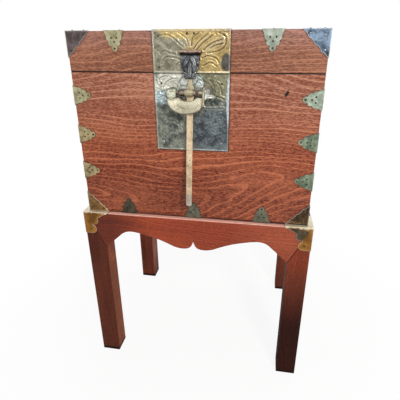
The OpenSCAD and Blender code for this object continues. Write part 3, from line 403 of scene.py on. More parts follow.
def brass(name, clean, aged, wear, metal, rough, scale, darkening, relief=False, hammer=0.0, rubbed_and_lit_edge=0.0):
    """Old brass: clean metal that shows through an aged film, dark specks, scratches and fine dents.
    wear is about the share that is clean, scale how fine the film is, and darkening how dark the specks are.
    relief reads the grooves and the polish kept on the mesh, hammer is the depth of a hammered ground,
    and rubbed_and_lit_edge how far from the edges the metal is painted bright: rubbed wear and a
    painted edge highlight."""
    s = Shader(name)
    clean, aged = srgb(*clean), srgb(*aged)
    film = s.noise(s.place, scale, 5.0, 0.62, 0.4)
    cloud = s.noise(s.place, scale * 0.28, 3.0, 0.5, 0.6)
    # Patches in other tones, among them painted reflections, highlights and shadows
    for pale, deep_tone, middle, radii in TONE_AND_LIGHT_PATCHES.get(name, ()):
        dx, dz = (s.times(s.add(s.axis[axis], -at), 1.0 / radius)
                  for axis, at, radius in zip("xz", middle, radii))
        outside = s.band(s.add(s.hypot(dx, dz), s.sway(cloud, 0.6), s.sway(film, 1.1)), 0.7, 1.12)
        clean, aged = s.mix(srgb(*pale), clean, outside), s.mix(srgb(*deep_tone), aged, outside)
    mottle = s.add(s.times(film, 0.6), s.times(cloud, 0.4))
    colour = s.mix(clean, aged, s.band(mottle, wear - 0.13, wear + 0.13))
    black = s.mix(aged, BLACK, 0.72)
    speck = s.band(s.noise(s.place, scale * 7.0, 2.0), 0.60, 0.72)
    colour = s.mix(colour, black, s.times(speck, darkening))

    streaks = s.node("ShaderNodeMapping", {"Vector": s.place, "Rotation": (0.3, 0.9, 0.4),
                                           "Scale": (2500.0, 300.0, 160.0)})
    scratch = s.noise(streaks.outputs[0], 1.0, 1.0)
    dent = s.noise(s.place, scale * 5.0, 2.0)
    height = s.add(s.times(dent, 0.6), s.times(scratch, 0.25), s.times(speck, -0.4))
    rough_map = s.add(rough, s.sway(film, 0.35), s.times(speck, 0.25), s.sway(scratch, 0.12))
    if relief:
        groove = s.node("ShaderNodeAttribute", attribute_name="groove").outputs["Fac"]
        polish = s.node("ShaderNodeAttribute", attribute_name="polish").outputs["Fac"]
        colour = s.mix(colour, s.mix(clean, (1.0, 0.98, 0.9, 1.0), 0.3), s.times(polish, 0.7))
        colour = s.mix(colour, black, s.times(groove, 0.92))
        rough_map = s.add(rough_map, s.times(groove, 0.25), s.times(polish, -0.1))
    # Painted shade in corners and beside raised parts
    colour = s.mix(colour, srgb(34, 30, 24), s.times(s.crevice_shade_and_dirt(0.0025, 0.45, 0.85), 0.65))
    # Edges rubbed bright, with a painted edge highlight on them
    if rubbed_and_lit_edge:
        colour = s.mix(colour, s.mix(clean, (1.0, 0.98, 0.92, 1.0), 0.5), s.times(s.edge(rubbed_and_lit_edge), 0.9))

    normal = s.bump(height, 0.0002, 0.5)
    if hammer:
        coarse, fine = s.noise(s.place, 105.0, 2.0, 0.5, 0.8), s.noise(s.place, 230.0, 2.0, 0.5, 0.6)
        normal = s.bump(s.add(coarse, s.times(fine, 0.5)), hammer, 0.8, normal)
    return s.finish(Base_Color=colour, Metallic=metal, Roughness=rough_map, Normal=normal)


def steel():
    s = Shader("pin_steel")
    grain = s.noise(s.place, 900.0, 3.0)
    colour = s.mix(srgb(150, 148, 142), srgb(96, 88, 80), s.band(s.noise(s.place, 150.0, 4.0), 0.45, 0.65))
    return s.finish(Base_Color=colour, Metallic=1.0, Roughness=s.add(0.32, s.sway(grain, 0.3)),
                    Normal=s.bump(grain, 0.00005, 0.4))


def packed_dirt():
    """Old wax and dust packed into the mounts' pierced holes."""
    s = Shader("hole_dirt")
    grain = s.noise(s.place, 1800.0, 3.0)
    colour = s.mix(srgb(30, 25, 20), srgb(16, 13, 11), s.band(grain, 0.4, 0.62))
    return s.finish(Base_Color=colour, Roughness=0.85, Normal=s.bump(grain, 0.0001, 0.6))


BRASSES = {
    "upper_plate": brass("upper_plate_brass", (180, 176, 152), (114, 112, 96), 0.5, 0.55, 0.36, 95.0, 0.5,
                         relief=True, hammer=0.0012),
    "lower_plate": brass("lower_plate_brass", (152, 156, 142), (68, 76, 74), 0.5, 0.55, 0.36, 130.0, 0.7,
                         relief=True, hammer=0.0018),
    "leaf": brass("leaf_brass", (186, 182, 146), (134, 128, 94), 0.5, 0.35, 0.46, 110.0, 0.5),
    "corner": brass("corner_brass", (150, 120, 76), (84, 66, 48), 0.5, 0.7, 0.4, 90.0, 0.5, rubbed_and_lit_edge=0.0024),
    "cap": brass("cap_brass", (194, 138, 62), (126, 84, 38), 0.52, 0.7, 0.34, 80.0, 0.5, rubbed_and_lit_edge=0.0024),
    "nail": brass("nail_brass", (128, 112, 82), (58, 50, 40), 0.46, 0.8, 0.4, 300.0, 0.3),
    "strap": brass("strap_brass", (236, 214, 180), (180, 152, 118), 0.54, 0.5, 0.38, 60.0, 0.95),
    "staple": brass("staple_brass", (210, 190, 168), (44, 34, 32), 0.46, 0.6, 0.34, 150.0, 0.8),
    "rod": brass("rod_brass", (214, 194, 172), (58, 44, 38), 0.48, 0.6, 0.32, 150.0, 0.8),
    "bronze": brass("cast_bronze", (158, 164, 168), (54, 54, 62), 0.47, 0.6, 0.42, 170.0, 0.8, relief=True),
    "barrel": brass("barrel_bronze", (70, 56, 52), (22, 18, 18), 0.46, 0.7, 0.34, 140.0, 0.5),
    "fish": brass("fish_brass", (228, 221, 194), (154, 145, 118), 0.56, 0.45, 0.4, 62.0, 0.95, relief=True),
    "tail": brass("tail_brass", (222, 224, 212), (126, 128, 118), 0.5, 0.5, 0.4, 100.0, 0.9, relief=True),
    "hinge": brass("hinge_brass", (178, 152, 100), (116, 98, 66), 0.5, 0.85, 0.38, 100.0, 0.4),
}
DIRT = packed_dirt()
STEEL = steel()


# Mesh building

def add_piece(name, mesh, replaced, material):
    """Puts a mesh in the scene as a piece that stands for CAD nodes, on their body."""
    obj = bpy.data.objects.new(name, mesh)
    bpy.context.scene.collection.objects.link(obj)
    mesh.materials.clear()
    mesh.materials.append(material)
    mesh.shade_smooth()
    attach(obj, BODY_OF[replaced[0]])
    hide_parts(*replaced)
    return obj


def even_normals(obj):
    """Keeps flat faces flat beside rounded edges."""
    obj.data.set_sharp_from_angle(angle=math.radians(40))
    obj.modifiers.new("even_normals", "WEIGHTED_NORMAL").keep_sharp = True


def mesh_from(bm, name):
    mesh = bpy.data.meshes.new(name)
    bm.normal_update()
    bm.to_mesh(mesh)
    bm.free()
    # Normals brought along from a CAD mesh don't fit the new faces
    if "custom_normal" in mesh.attributes:
        mesh.attributes.remove(mesh.attributes["custom_normal"])
    return mesh


def rounded_board(node, radius, material):
    """A board of the CAD node's size with rounded arrises."""
    low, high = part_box(node)
    bm = bmesh.new()
    bmesh.ops.create_cube(bm, size=1.0)
    middle, size = (low + high) / 2, high - low
    for vert in bm.verts:
        vert.co = Vector(middle[i] + vert.co[i] * size[i] for i in range(3))
    bmesh.ops.bevel(bm, geom=bm.edges[:], offset=radius, segments=3, profile=0.5, affect="EDGES")
    even_normals(add_piece(node + "_board", mesh_from(bm, node + "_board"), [node], material))


def softened(node, width, material, least, steps=2):
    """A copy of a CAD node with its sharp edges, from a least length on, rounded over."""
    bm = bmesh.new()
    bm.from_mesh(frame["nodes"][node].data)
    bmesh.ops.remove_doubles(bm, verts=bm.verts, dist=2e-6)
    bmesh.ops.dissolve_limit(bm, angle_limit=math.radians(0.6), verts=bm.verts, edges=bm.edges)
    edges = [e for e in bm.edges if len(e.link_faces) == 2 and e.calc_length() > least
             and e.calc_face_angle() > math.radians(28)]
    bmesh.ops.bevel(bm, geom=edges, offset=width, segments=steps, profile=0.5, affect="EDGES",
                    clamp_overlap=False)
    even_normals(add_piece(node + "_soft", mesh_from(bm, node), [node], material))


def paint(material, *nodes):
    """Gives CAD nodes that stay as they are their material."""
    for node in nodes:
        data = frame["nodes"][node].data
        data.materials.clear()
        data.materials.append(material)


def keep_on(mesh, **layers):
    """Keeps a value for each point of a mesh, for its material to read."""
    for name, values in layers.items():
        layer = mesh.attributes.new(name, "FLOAT", "POINT")
        layer.data.foreach_set("value", values.ravel().astype(np.float32))


def grid_mesh(name, points, **layers):
    """Quads over rows and columns of points, with the engraving's depth and polish kept on the mesh."""
    rows, columns = points.shape[:2]
    index = np.arange(rows * columns).reshape(rows, columns)
    quads = np.stack([index[:-1, :-1], index[:-1, 1:], index[1:, 1:], index[1:, :-1]], -1).reshape(-1, 4)
    mesh = bpy.data.meshes.new(name)
    mesh.from_pydata(points.reshape(-1, 3).tolist(), [], quads.tolist())
    keep_on(mesh, **layers)
    return mesh


class Relief:
    """Engraving and chasing on a sheet, in millimetres: a height and a groove depth at each point."""

    def __init__(self, x, z):
        self.x, self.z = x, z
        self.height = np.zeros_like(x)
        self.groove = np.zeros_like(x)

    def line(self, distance, width, depth=1.0, where=True):
        """A groove where the distance is about 0, up to the width."""
        cut = np.where(where, depth * np.exp(-(distance / width) ** 2), 0)
        self.groove = np.maximum(self.groove, cut)

    def stroke(self, points, width, depth, ridge):
        """A chased line, with a soft ridge 2.6 mm beside it, along a Catmull-Rom curve through points."""
        start, end = np.array(points[0]), np.array(points[-1])
        ends = [2 * start - points[1], *map(np.array, points), 2 * end - points[-2]]
        path = []
        for a, b, c, d in zip(ends, ends[1:], ends[2:], ends[3:]):
            for t in np.linspace(0, 1, 10, endpoint=False):
                path.append(0.5 * (2 * b + (c - a) * t + (2 * a - 5 * b + 4 * c - d) * t * t
                                   + (3 * b - a - 3 * c + d) * t ** 3))
        path.append(ends[-2])
        near = np.full_like(self.x, 1e6)
        for (x0, z0), (x1, z1) in zip(path, path[1:]):
            dx, dz = x1 - x0, z1 - z0
            t = np.clip(((self.x - x0) * dx + (self.z - z0) * dz) / max(dx * dx + dz * dz, 1e-9), 0, 1)
            near = np.minimum(near, np.hypot(self.x - x0 - t * dx, self.z - z0 - t * dz))
        self.line(near, width, depth)
        self.height += ridge * np.exp(-((near - 2.6) / 1.6) ** 2)

    def leaf(self, root, angle, length, width, bend, pillow, stroke, veins=None):
        """A pointed leaf from its root, laid over what is already there. pillow is its height, stroke the
        width of its outline and midrib, veins how far apart its veins are, and bend how far it curls."""
        dx, dz = self.x - root[0], self.z - root[1]
        c, s = math.cos(math.radians(angle)), math.sin(math.radians(angle))
        run = (dx * c + dz * s) / length
        side = -dx * s + dz * c - bend * length * run * run
        inside_run = np.clip(run, 0, 1)
        half = width * 1.75 * inside_run ** 0.62 * (1 - inside_run) ** 0.85
        inside = (run > 0) & (run < 1) & (np.abs(side) < half + 0.6)
        dome = pillow * np.sqrt(np.clip(1 - (side / (half + 0.6)) ** 2, 0, 1))
        self.height = np.where(inside, dome, self.height)
        self.groove = np.where(inside, 0, self.groove)
        self.line(np.abs(side) - half, stroke, 1.0, inside)
        self.line(side, stroke * 0.7, 0.9, inside & (run < 0.9))
        if veins:
            phase = (run * length - 0.9 * np.abs(side)) / veins
            apart = (phase - np.round(phase)) * veins
            self.line(apart, stroke * 0.6, 0.5, inside & (np.abs(side) < half - 0.8) & (run < 0.92))


# Lock plates, in millimetres: leaves spread from the hasp's hinge on the upper one and from the roundel
# on the lower one

SEAM_MM = SEAM_Z / MM
STEP = 0.7  # between the engraving's points
SHEET = 1.5  # thickness
RIM_HEIGHT, RIM_WIDTH = 0.6, 2.2
MARGIN = 3.4  # from the edge to where the engraving begins
BEND = 2.5  # length of the fold over the lid's edge
LAP = 14.0  # reach of the upper plate from the fold's start
SKIRT = 0.05  # from the wood to the border that closes a plate's sides


def sheet_points(x, height, along, fold):
    """Places the points of an engraved plate: up the front and, past fold, over the top edge."""
    y, z = FRONT_Y / MM - height, along
    if fold is not None:
        angle = np.clip((along - fold) / BEND, 0, 1) * math.pi / 2
        over = np.clip(along - fold - BEND, 0, None)
        y = FRONT_Y / MM + over - height * np.cos(angle)
        z = np.minimum(along, fold) + height * np.sin(angle)
    return np.stack([x, y, z], -1) * MM


def with_skirt(values, border=None):
    """Adds a border round a grid: its own edge once more, or the value given."""
    if border is None:
        return np.pad(values, 1, mode="edge")
    return np.pad(values, 1, mode="constant", constant_values=border)


def plate(node, decorate, fold=None):
    """An engraved lock plate with a raised rim on the place of its CAD node. fold is the height at which
    it bends over the lid's edge."""
    low, high = (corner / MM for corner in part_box(node))
    front_top = high.z if fold is None else fold
    top = front_top if fold is None else fold + LAP
    columns = int((high.x - low.x) / STEP) + 1
    rows = int((top - low.z) / STEP) + 1
    x, along = np.meshgrid(np.linspace(low.x, high.x, columns), np.linspace(low.z, top, rows))
    art = Relief(x, along)
    decorate(art)
    edge = np.minimum.reduce([x - low.x, high.x - x, along - low.z, np.abs(front_top - along)])
    flat = np.where(along > front_top, 0, 1)
    rim = RIM_HEIGHT * flat / (1 + np.exp((edge - RIM_WIDTH) * 5))
    field = flat / (1 + np.exp(-(edge - MARGIN) * 3))
    height = SHEET + rim + (art.height - 0.4 * art.groove) * field
    groove = art.groove * field
    polish = np.maximum(rim / RIM_HEIGHT * 0.9, np.clip((art.height - 0.3) * 1.6, 0, 1) * field)
    if fold is None:
        # The lower plate is darkened along the seam, under the upper plate's edge: painted shade, with grime
        plate_seam_shade_and_grime = np.exp(-((along - top + 1.0) / 1.2) ** 4)
        groove, polish = np.maximum(groove, plate_seam_shade_and_grime), polish * (1 - plate_seam_shade_and_grime)
    points = sheet_points(with_skirt(x), with_skirt(height, SKIRT), with_skirt(along), fold)
    return grid_mesh(node, points, groove=with_skirt(groove), polish=with_skirt(polish))


def chase(art, strokes, width, depth_at, ridge):
    """Chases strokes given in millimetres from the middle of the seam. depth_at gives a stroke's depth,
    less where the plate is worn, from its second point."""
    for points in strokes:
        art.stroke([(x, SEAM_MM + z) for x, z in points], width, depth_at(*points[1]), ridge)


def upper_ornament(art):
    """Long leaves that spread from behind the hasp. They are worn faint on the left."""
    strokes = [
        [(1, 44), (4, 57), (14, 64)], [(5, 39), (14, 50), (30, 63)], [(10, 37), (22, 49), (38, 60)],
        [(22, 37), (37, 48), (55, 54)], [(48, 64), (58, 60), (61, 51), (57, 41), (45, 35), (29, 33)],
        [(34, 40), (44, 45), (55, 47)], [(19, 24), (30, 28), (43, 24), (49, 17)],
        [(22, 12), (34, 17), (46, 10)], [(-3, 44), (-9, 56), (-22, 65)],
        [(-13, 41), (-27, 53), (-40, 61), (-57, 60)], [(-54, 31), (-47, 36), (-36, 32), (-28, 31)],
        [(-53, 14), (-47, 24), (-34, 26), (-18, 22)], [(-27, 12), (-21, 17), (-16, 13)]]
    chase(art, strokes, 0.85, lambda x, z: 0.45 if x < -8 else 1.0, 0.5)
    for row in range(5):
        x, z = 24 + 7 * row, SEAM_MM + 36 + 3.2 * row
        art.stroke([(x, z), (x + 3, z + 6), (x + 8, z + 10)], 0.7, 0.45, 0.2)


# The roundel behind the hasp's eye, and how far out, how wide and how much turned its six petals are
ROUNDEL, ROUNDEL_R = (0.0, SEAM_MM - 26), 25
PETAL_OUT, PETAL_R, PETAL_TURN = 14.5, 9.6, 22


def lower_ornament(art):
    """A flower behind the hasp's eye and leaves round it. They are worn faint lower down."""
    strokes = [
        [(-58, -17), (-57, -9), (-43, -6), (-34, -10)], [(-52, -26), (-46, -17), (-37, -11), (-27, -10)],
        [(-56, -34), (-48, -30), (-38, -32), (-30, -40)], [(-62, -44), (-50, -40), (-42, -48)],
        [(-60, -56), (-46, -50), (-34, -58), (-28, -70)], [(-56, -76), (-44, -66), (-32, -74)],
        [(-58, -96), (-46, -84), (-30, -88), (-16, -100)], [(-52, -116), (-38, -104), (-20, -112)],
        [(33, -12), (40, -20), (43, -32)], [(46, -16), (53, -25), (55, -36)],
        [(30, -48), (44, -40), (58, -44)], [(26, -57), (59, -56)], [(26, -61), (57, -60)],
        [(22, -78), (38, -70), (56, -66)], [(14, -92), (30, -84), (54, -78)],
        [(18, -108), (34, -96), (56, -92)], [(30, -124), (44, -112), (58, -108)],
        [(-14, -74), (-24, -86), (-22, -102)], [(14, -112), (24, -120), (22, -130)]]
    chase(art, strokes, 0.8, lambda x, z: 0.38 if z < -48 else 0.95, 0.35)
    # An uneven ground, in slow wavy rows
    waves = (np.sin(art.x * 0.55 + 2.2 * np.sin(art.z * 0.21))
             * np.sin(art.z * 0.62 + 1.7 * np.sin(art.x * 0.19)))
    art.height += 0.16 * waves
    art.groove = np.maximum(art.groove, 0.3 * np.clip(waves - 0.35, 0, 1) * (art.z < SEAM_MM - 52))
    spread = np.hypot(art.x - ROUNDEL[0], art.z - ROUNDEL[1])
    on_roundel = spread < ROUNDEL_R
    art.height = np.where(on_roundel, 0.7, art.height)
    art.groove = np.where(on_roundel, 0, art.groove)
    for turn in range(0, 360, 60):
        angle = math.radians(turn + PETAL_TURN)
        apart = np.hypot(art.x - (ROUNDEL[0] + PETAL_OUT * math.cos(angle)),
                         art.z - (ROUNDEL[1] + PETAL_OUT * math.sin(angle)))
        petal = on_roundel & (apart < PETAL_R)
        dome = 0.7 + 0.6 * np.sqrt(np.clip(1 - (apart / PETAL_R) ** 2, 0, 1))
        art.height = np.where(petal, dome, art.height)
        art.groove = np.where(petal, 0, art.groove)
        art.line(apart - PETAL_R + 0.4, 1.1, 1.0, on_roundel)
    art.line(spread - 6.5, 0.8)
    art.line(spread - ROUNDEL_R, 1.0)


# Hasp shield, fish and tail

def hung(points):
    """Turns points given in millimetres from the hasp's pin, as it hangs locked, to where it is at rest."""
    c, s = math.cos(HASP_LEAN), math.sin(HASP_LEAN)
    x, y, z = points[..., 0], points[..., 1], points[..., 2]
    return np.stack([x, y * c + z * s, -y * s + z * c], -1) * MM + np.array(HASP_PIN)


def from_rod(coordinates):
    """Millimetres from the middle of the padlock's rod, in the hasp's own directions."""
    c, s = math.cos(HASP_LEAN), math.sin(HASP_LEAN)
    d = (coordinates - np.array(ROD)) / MM
    return np.stack([d[:, 0], d[:, 1] * c - d[:, 2] * s, d[:, 1] * s + d[:, 2] * c], -1)


def shield():
    """The cast shield: a crowned plate with leaves in relief, closed by its sides. Its lengths are
    millimetres, from the hasp's pin and the strap's front."""
    top, height, back = -3.7, 38.8, -0.5
    middle_thick, edge_thick, shoulder = 4.3, 1.6, 2.2
    strap_front, skirt = -1.0, 0.4
    u, v = np.meshgrid(np.linspace(-1, 1, 71), np.linspace(0, 1, 91))
    half = np.interp(v, [0, 0.12, 0.35, 0.6, 0.8, 1.0], [16.6, 16.9, 16.2, 13.6, 10.8, 9.2])
    scallops = np.abs(np.sin(v * 15.0)) - 0.6
    half = half + 1.1 * scallops * np.clip(v * 4 - 1.2, 0, 1)
    x, z = u * half, top - v * height
    art = Relief(x, z)
    for angle, length, width, bend in ((100, 15, 4.5, 0.5), (78, 25, 5, 0.35), (50, 27, 5.5, 0.5)):
        for side in (-1, 1):
            art.leaf((side * 1.5, top - height + 2), angle if side > 0 else 180 - angle, length, width,
                     -side * bend, 1.1, 1.0)
    for side in (-1, 1):
        art.leaf((side * 0.5, top - 1.5), -90 + side * 42, 21, 6.5, -side * 0.25, 1.3, 1.1)
    art.leaf((0, top - height + 1), 90, 30, 6.5, 0.0, 1.4, 1.1, veins=3.5)
    edge = np.minimum.reduce([(1 - np.abs(u)) * half, v * height, (1 - v) * height])
    crown = (middle_thick - edge_thick) * (1 - (x / 26) ** 2) * np.sqrt(np.clip(edge / shoulder, 0, 1))
    y = back - crown - np.where(edge > 0.4, art.height, 0) + 0.5 * art.groove
    # The grooves, and a painted shade along the shield's edge all round
    groove = np.maximum(art.groove, 0.9 * np.exp(-(edge / 0.9) ** 2))
    polish = np.clip((art.height - 0.8) * 0.5, 0, 0.25)
    points = np.stack([with_skirt(x), with_skirt(y, back + skirt) + strap_front, with_skirt(z)], -1)
    mesh = grid_mesh("hasp_shield_cast", hung(points), groove=with_skirt(groove), polish=with_skirt(polish))
    add_piece("hasp_shield_cast", mesh, ["hasp_shield"], BRASSES["bronze"])


def cast_mesh(name, nodes, voxel, passes):
    """CAD nodes run together and rounded like a casting: a fine even mesh, smoothed."""
    bm = bmesh.new()
    for node in nodes:
        bm.from_mesh(frame["nodes"][node].data)
    bmesh.ops.remove_doubles(bm, verts=bm.verts, dist=2e-6)
    blank = bpy.data.objects.new(name, mesh_from(bm, name))
    bpy.context.scene.collection.objects.link(blank)
    remesh = blank.modifiers.new("even", "REMESH")
    remesh.mode = "VOXEL"
    remesh.voxel_size = voxel
    smooth = blank.modifiers.new("round", "SMOOTH")
    smooth.factor = 0.5
    smooth.iterations = passes
    made = bpy.data.meshes.new_from_object(blank.evaluated_get(bpy.context.evaluated_depsgraph_get()))
    bpy.data.objects.remove(blank)
    return made


# Height in millimetres, from the middle of the rod, at which the fish's head stands on its belly
HEAD_FOOT = -8.8


def displace(mesh, depth_at):
    """Moves a mesh's points along their normals by depth_at(place), in millimetres, and keeps the grooves
    and a painted shade, with dirt, at the outline."""
    count = len(mesh.vertices)
    place, normal = np.zeros(count * 3), np.zeros(count * 3)
    mesh.vertices.foreach_get("co", place)
    mesh.vertex_normals.foreach_get("vector", normal)
    place, normal = place.reshape(-1, 3), normal.reshape(-1, 3)
    height, groove = depth_at(from_rod(place))
    facing = np.clip(np.abs(normal[:, 1]) * 1.4 - 0.2, 0, 1)
    # The outline is where the mesh turns away from the front, but not at the split under the head
    from_split = np.abs(from_rod(place)[:, 2] - HEAD_FOOT)
    at_split = (from_split < 3) & (np.abs(normal[:, 0]) < np.abs(normal[:, 2]))
    outline = place[(np.abs(normal[:, 1]) < 0.8) & ~at_split]
    tree = KDTree(len(outline))
    for i, spot in enumerate(outline):
        tree.insert(spot, i)
    tree.balance()
    apart = np.array([tree.find(spot)[2] for spot in place]) / MM
    # Painted shade, with dirt, along the outline
    darkening = 0.95 * np.exp(-(apart / 1.9) ** 2)
    place = place + normal * ((height - 0.35 * groove) * facing * MM)[:, None]
    mesh.vertices.foreach_set("co", place.ravel())
    keep_on(mesh, groove=np.maximum(groove * facing, darkening), polish=np.zeros(count))
    mesh.update()


def fish_relief(place):
    """Eye, gill cover, mouth, scales and fin rays of the fish."""
    x, z = place[:, 0], place[:, 2]
    art = Relief(x, z)
    eye_x, eye_z = -31, 3.5
    eye = np.hypot(x - eye_x, z - eye_z)
    art.height += 0.8 * np.exp(-(eye / 1.3) ** 2)
    art.line(eye - 2.4, 0.8)
    gill = np.hypot(x - eye_x, z + 1)
    art.line(gill - 10.5, 1.1, 1.0, (z < 0) & (x > -39))
    art.line(gill - 13.2, 0.7, 0.5, (z < -6) & (x > -36))
    mouth = z + 1.8 + 0.25 * (x + 41)
    art.line(mouth, 0.7, 1.0, x < -34)
    # Scales in rows that are set off by half a scale
    wide, high, start = 4.6, 2.6, -12
    row = np.round((z - start) / high)
    column = (x + np.where(row % 2 == 0, 0, wide / 2)) / wide
    cell = np.hypot((column - np.round(column)) * wide, (z - start - row * high) * 1.2)
    on_body = (x > -21) & (x < 22) & (z < -10) & (z > -29 + 0.012 * x * x)
    art.line(cell - 2.1, 0.6, 0.8, on_body)
    ray = (x + z * 0.5) / 2.2
    art.line((ray - np.round(ray)) * 2.2, 0.5, 0.6, (z < -27) & (x > -12))
    return art.height, art.groove


def tail_relief(place):
    """Rays that spread from the root of the tail."""
    x, z = place[:, 0], place[:, 2]
    art = Relief(x, z)
    ray = np.degrees(np.arctan2(z + 3, x - 18)) / 9
    apart = (ray - np.round(ray)) * np.hypot(x - 18, z + 3) * math.radians(9)
    art.line(apart, 0.5, 0.9, x > 30)
    return art.height, art.groove


def fish():
    body = cast_mesh("fish_body_cast", ["padlock_belly", "padlock_head"], 0.5 * MM, 6)
    displace(body, fish_relief)
    add_piece("fish_body_cast", body, ["padlock_belly", "padlock_head"], BRASSES["fish"])
    tail = cast_mesh("fish_tail_cast", ["padlock_tail"], 0.45 * MM, 4)
    displace(tail, tail_relief)
    add_piece("fish_tail_cast", tail, ["padlock_tail"], BRASSES["tail"])


# The object

def dress_wood():
    for kind, radius, nodes in (
            ("case_x", 1.0, ("case_front", "case_back")), ("case_y", 0.5, ("case_left", "case_right")),
            ("lid_x", 1.0, ("lid_front", "lid_back")), ("lid_y", 0.5, ("lid_left", "lid_right")),
            ("lid_top", 0.5, ("lid_top",)),
            ("inner", 0.8, ("case_floor", "bearer_front", "bearer_back", "bearer_left", "bearer_right"))):
        for node in nodes:
            rounded_board(node, radius * MM, WOODS[kind])
    for kind, width, least, nodes in (
            ("stand_x", 1.0, 2.5, ("apron_front", "apron_back")),
            ("stand_y", 1.0, 2.5, ("apron_left", "apron_right")),
            ("leg", 1.2, 3.0, ("leg_front_left", "leg_front_right", "leg_back_left", "leg_back_right"))):
        for node in nodes:
            softened(node, width * MM, WOODS[kind], least * MM)


def dress_brass():
    mesh = plate("upper_lock_plate", upper_ornament, TOP_Z / MM)
    add_piece("upper_plate_engraved", mesh, ["upper_lock_plate"], BRASSES["upper_plate"])
    mesh = plate("lower_lock_plate", lower_ornament)
    add_piece("lower_plate_engraved", mesh, ["lower_lock_plate"], BRASSES["lower_plate"])
    shield()
    fish()
    for kind, nodes in (("leaf", ("lid_leaf_mounts", "case_leaf_mounts")),
                        ("corner", ("lid_corner_mounts", "case_corner_mounts")),
                        ("cap", ("stand_corner_caps",))):
        for node in nodes:
            softened(node, 0.25 * MM, BRASSES[kind], 0.3 * MM, 1)
    for kind, width, least, nodes in (
            ("strap", 0.5, 1.5, ("hasp_strap",)), ("rod", 0.3, 2.0, ("shackle_rod",)),
            ("hinge", 0.25, 1.0, ("case_hinge_leaves", "lid_hinge_leaves")),
            ("staple", 0.4, 1.5, ("staple_left", "staple_right"))):
        for node in nodes:
            softened(node, width * MM, BRASSES[kind], least * MM)
    paint(BRASSES["barrel"], "hasp_bracket")
    paint(BRASSES["nail"], "stand_nails", "case_nails", "lid_nails", "case_hinge_screws", "lid_hinge_screws")
    paint(BRASSES["hinge"], "bail_posts", "bail_washers", "bail_left", "bail_right")
    paint(STEEL, "hinge_pins", "hasp_pin", "padlock_springs")


# The leaf mounts' middles, in millimetres from the chest's middle and up from the case's foot, and their
# pierced holes, across each mount and in from its edge
FRONT_LEAF = 138
SIDE_LEAVES = (92, 167, 242)
HOLES = ((-5.0, 11.4), (5.0, 11.4), (0.0, 18.1))
PLUG_R, PLUG_FLATNESS = 1.55, 0.28


def hole_dirt():
    """Low plugs of old wax and dust in the leaf mounts' pierced holes, on every face that they are on."""
    low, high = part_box("case_front")
    out, up, right = Vector((0, -1, 0)), Vector((0, 0, 1)), Vector((1, 0, 0))
    spots = {"lid": [], "chest": []}
    for across, into in HOLES:
        for x in (-FRONT_LEAF, FRONT_LEAF):
            spots["lid"].append((Vector(((x + across) * MM, low.y, TOP_Z - into * MM)), out))
            spots["lid"].append((Vector(((x + across) * MM, low.y + into * MM, TOP_Z)), up))
        for x in (-FRONT_LEAF, 0, FRONT_LEAF):
            spots["chest"].append((Vector(((x + across) * MM, low.y, low.z + into * MM)), out))
        for middle in SIDE_LEAVES:
            z = low.z + (middle + across) * MM
            for side, edge in ((-1, low.x), (1, high.x)):
                spots["chest"].append((Vector((edge - side * into * MM, low.y, z)), out))
                spots["chest"].append((Vector((edge, low.y + into * MM, z)), right * side))
    flatten = Matrix.Diagonal((1, 1, PLUG_FLATNESS, 1))
    for body, places in spots.items():
        bm = bmesh.new()
        for place, normal in places:
            turn = normal.to_track_quat("Z", "Y").to_matrix().to_4x4()
            bmesh.ops.create_uvsphere(bm, u_segments=14, v_segments=8, radius=PLUG_R * MM,
                                      matrix=Matrix.Translation(place) @ turn @ flatten)
        mesh = mesh_from(bm, body + "_hole_dirt")
        obj = bpy.data.objects.new(mesh.name, mesh)
        bpy.context.scene.collection.objects.link(obj)
        mesh.materials.append(DIRT)
        mesh.shade_smooth()
        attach(obj, body)


# Stage, light and camera

def make_floor():
    """A plain pale floor: white to the eye but for a faint shadow near the object, greyer to reflections."""
    bpy.ops.mesh.primitive_plane_add(size=30.0)
    floor = bpy.context.object
    floor.name = "studio_floor"
    s = Shader("studio_floor")
    tone = s.mix((0.86, 0.86, 0.86, 1.0), (0.9, 0.9, 0.9, 1.0), s.noise(s.place, 3.0))
    lit = s.node("ShaderNodeBsdfDiffuse", {"Color": tone}).outputs[0]
    mirrored = s.node("ShaderNodeBsdfDiffuse", {"Color": (0.42, 0.40, 0.38, 1.0)}).outputs[0]
    white = s.node("ShaderNodeEmission", {"Color": WHITE, "Strength": 1.0}).outputs[0]
    path = s.node("ShaderNodeLightPath").outputs
    away = s.node("ShaderNodeVectorMath", {0: s.place}, operation="LENGTH").outputs["Value"]
    share = s.times(path["Is Camera Ray"], s.add(0.9, s.times(s.band(away, 0.3, 0.75), 0.1)))
    seen = s.blend(share, s.blend(path["Is Glossy Ray"], lit, mirrored), white)
    s.node("ShaderNodeOutputMaterial", {"Surface": seen})
    floor.data.materials.append(s.material)


def make_world():
    """White to the eye, soft grey as light, and a pale room with a bright horizon to reflections."""
    world = bpy.data.worlds.new("studio")
    bpy.context.scene.world = world
    s = Nodes(world)
    rise = s.split(s.node("ShaderNodeTexCoord").outputs["Generated"])[2]
    rise = s.node("ShaderNodeMath", {0: rise, 1: 0.5, 2: 0.5}, operation="MULTIPLY_ADD").outputs[0]
    room = s.node("ShaderNodeValToRGB", {"Fac": rise})
    stops = room.color_ramp.elements
    stops[0].position, stops[0].color = 0.42, (0.22, 0.21, 0.2, 1.0)
    stops[1].position, stops[1].color = 0.95, (0.55, 0.56, 0.58, 1.0)
    stops.new(0.5).color = (0.85, 0.84, 0.82, 1.0)
    stops.new(0.62).color = (0.95, 0.95, 0.95, 1.0)
    eye = s.node("ShaderNodeBackground", {0: WHITE}).outputs[0]
    light = s.node("ShaderNodeBackground", {0: (0.88, 0.9, 0.94, 1.0), 1: 0.36}).outputs[0]
    mirror = s.node("ShaderNodeBackground", {0: room.outputs[0]}).outputs[0]
    path = s.node("ShaderNodeLightPath").outputs
    seen = s.blend(path["Is Camera Ray"], s.blend(path["Is Glossy Ray"], light, mirror), eye)
    s.node("ShaderNodeOutputWorld", {"Surface": seen})


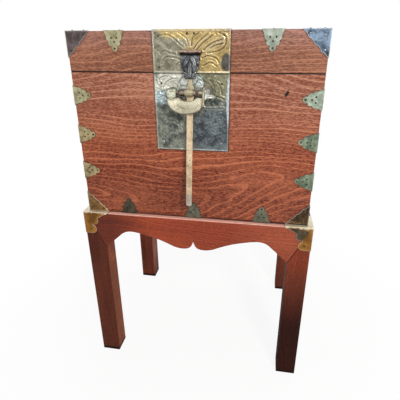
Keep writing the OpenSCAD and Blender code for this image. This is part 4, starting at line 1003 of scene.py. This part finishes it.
def softbox(name, place, aim, size, power, colour=(1.0, 0.97, 0.93)):
    light = bpy.data.lights.new(name, "AREA")
    light.shape = "RECTANGLE"
    light.size, light.size_y = size
    light.energy = power
    light.color = colour
    obj = bpy.data.objects.new(name, light)
    bpy.context.scene.collection.objects.link(obj)
    obj.location = place
    obj.rotation_euler = (Vector(aim) - Vector(place)).to_track_quat("-Z", "Y").to_euler()


def make_light():
    softbox("key_softbox", (1.05, -2.3, 1.9), (0.0, 0.0, 0.45), (0.5, 0.6), 64.0)
    softbox("fill_softbox", (-2.2, -1.6, 1.5), (0.0, 0.0, 0.4), (1.4, 1.4), 8.0, (0.93, 0.96, 1.0))
    softbox("top_softbox", (0.2, 0.6, 2.4), (0.0, 0.0, 0.5), (1.5, 1.5), 16.0)


# Camera of the photograph: place, directions in degrees and the focal length in pixels of its frame
PHOTO_SIZE = 400
PHOTO_FOCAL = 369.7
CAMERA_PLACE = (0.1362, -0.8285, 0.7341)
CAMERA_YAW = 10.31
CAMERA_PITCH = 23.97
CAMERA_ROLL = -0.44


def make_camera():
    data = bpy.data.cameras.new("photo_camera")
    data.sensor_width = 36.0
    data.lens = PHOTO_FOCAL / PHOTO_SIZE * data.sensor_width
    yaw, pitch, roll = (math.radians(a) for a in (CAMERA_YAW, CAMERA_PITCH, CAMERA_ROLL))
    ahead = Vector((-math.sin(yaw) * math.cos(pitch), math.cos(yaw) * math.cos(pitch), -math.sin(pitch)))
    level = Vector((math.cos(yaw), math.sin(yaw), 0.0))
    over = level.cross(ahead)
    right = level * math.cos(roll) + over * math.sin(roll)
    up = over * math.cos(roll) - level * math.sin(roll)
    camera = bpy.data.objects.new("photo_camera", data)
    turned = Matrix((right, up, -ahead)).transposed().to_4x4()
    camera.matrix_world = Matrix.Translation(CAMERA_PLACE) @ turned
    bpy.context.scene.collection.objects.link(camera)
    bpy.context.scene.camera = camera


dress_wood()
dress_brass()
hole_dirt()
make_floor()
make_world()
make_light()
make_camera()
bpy.context.scene.view_settings.view_transform = "Standard"
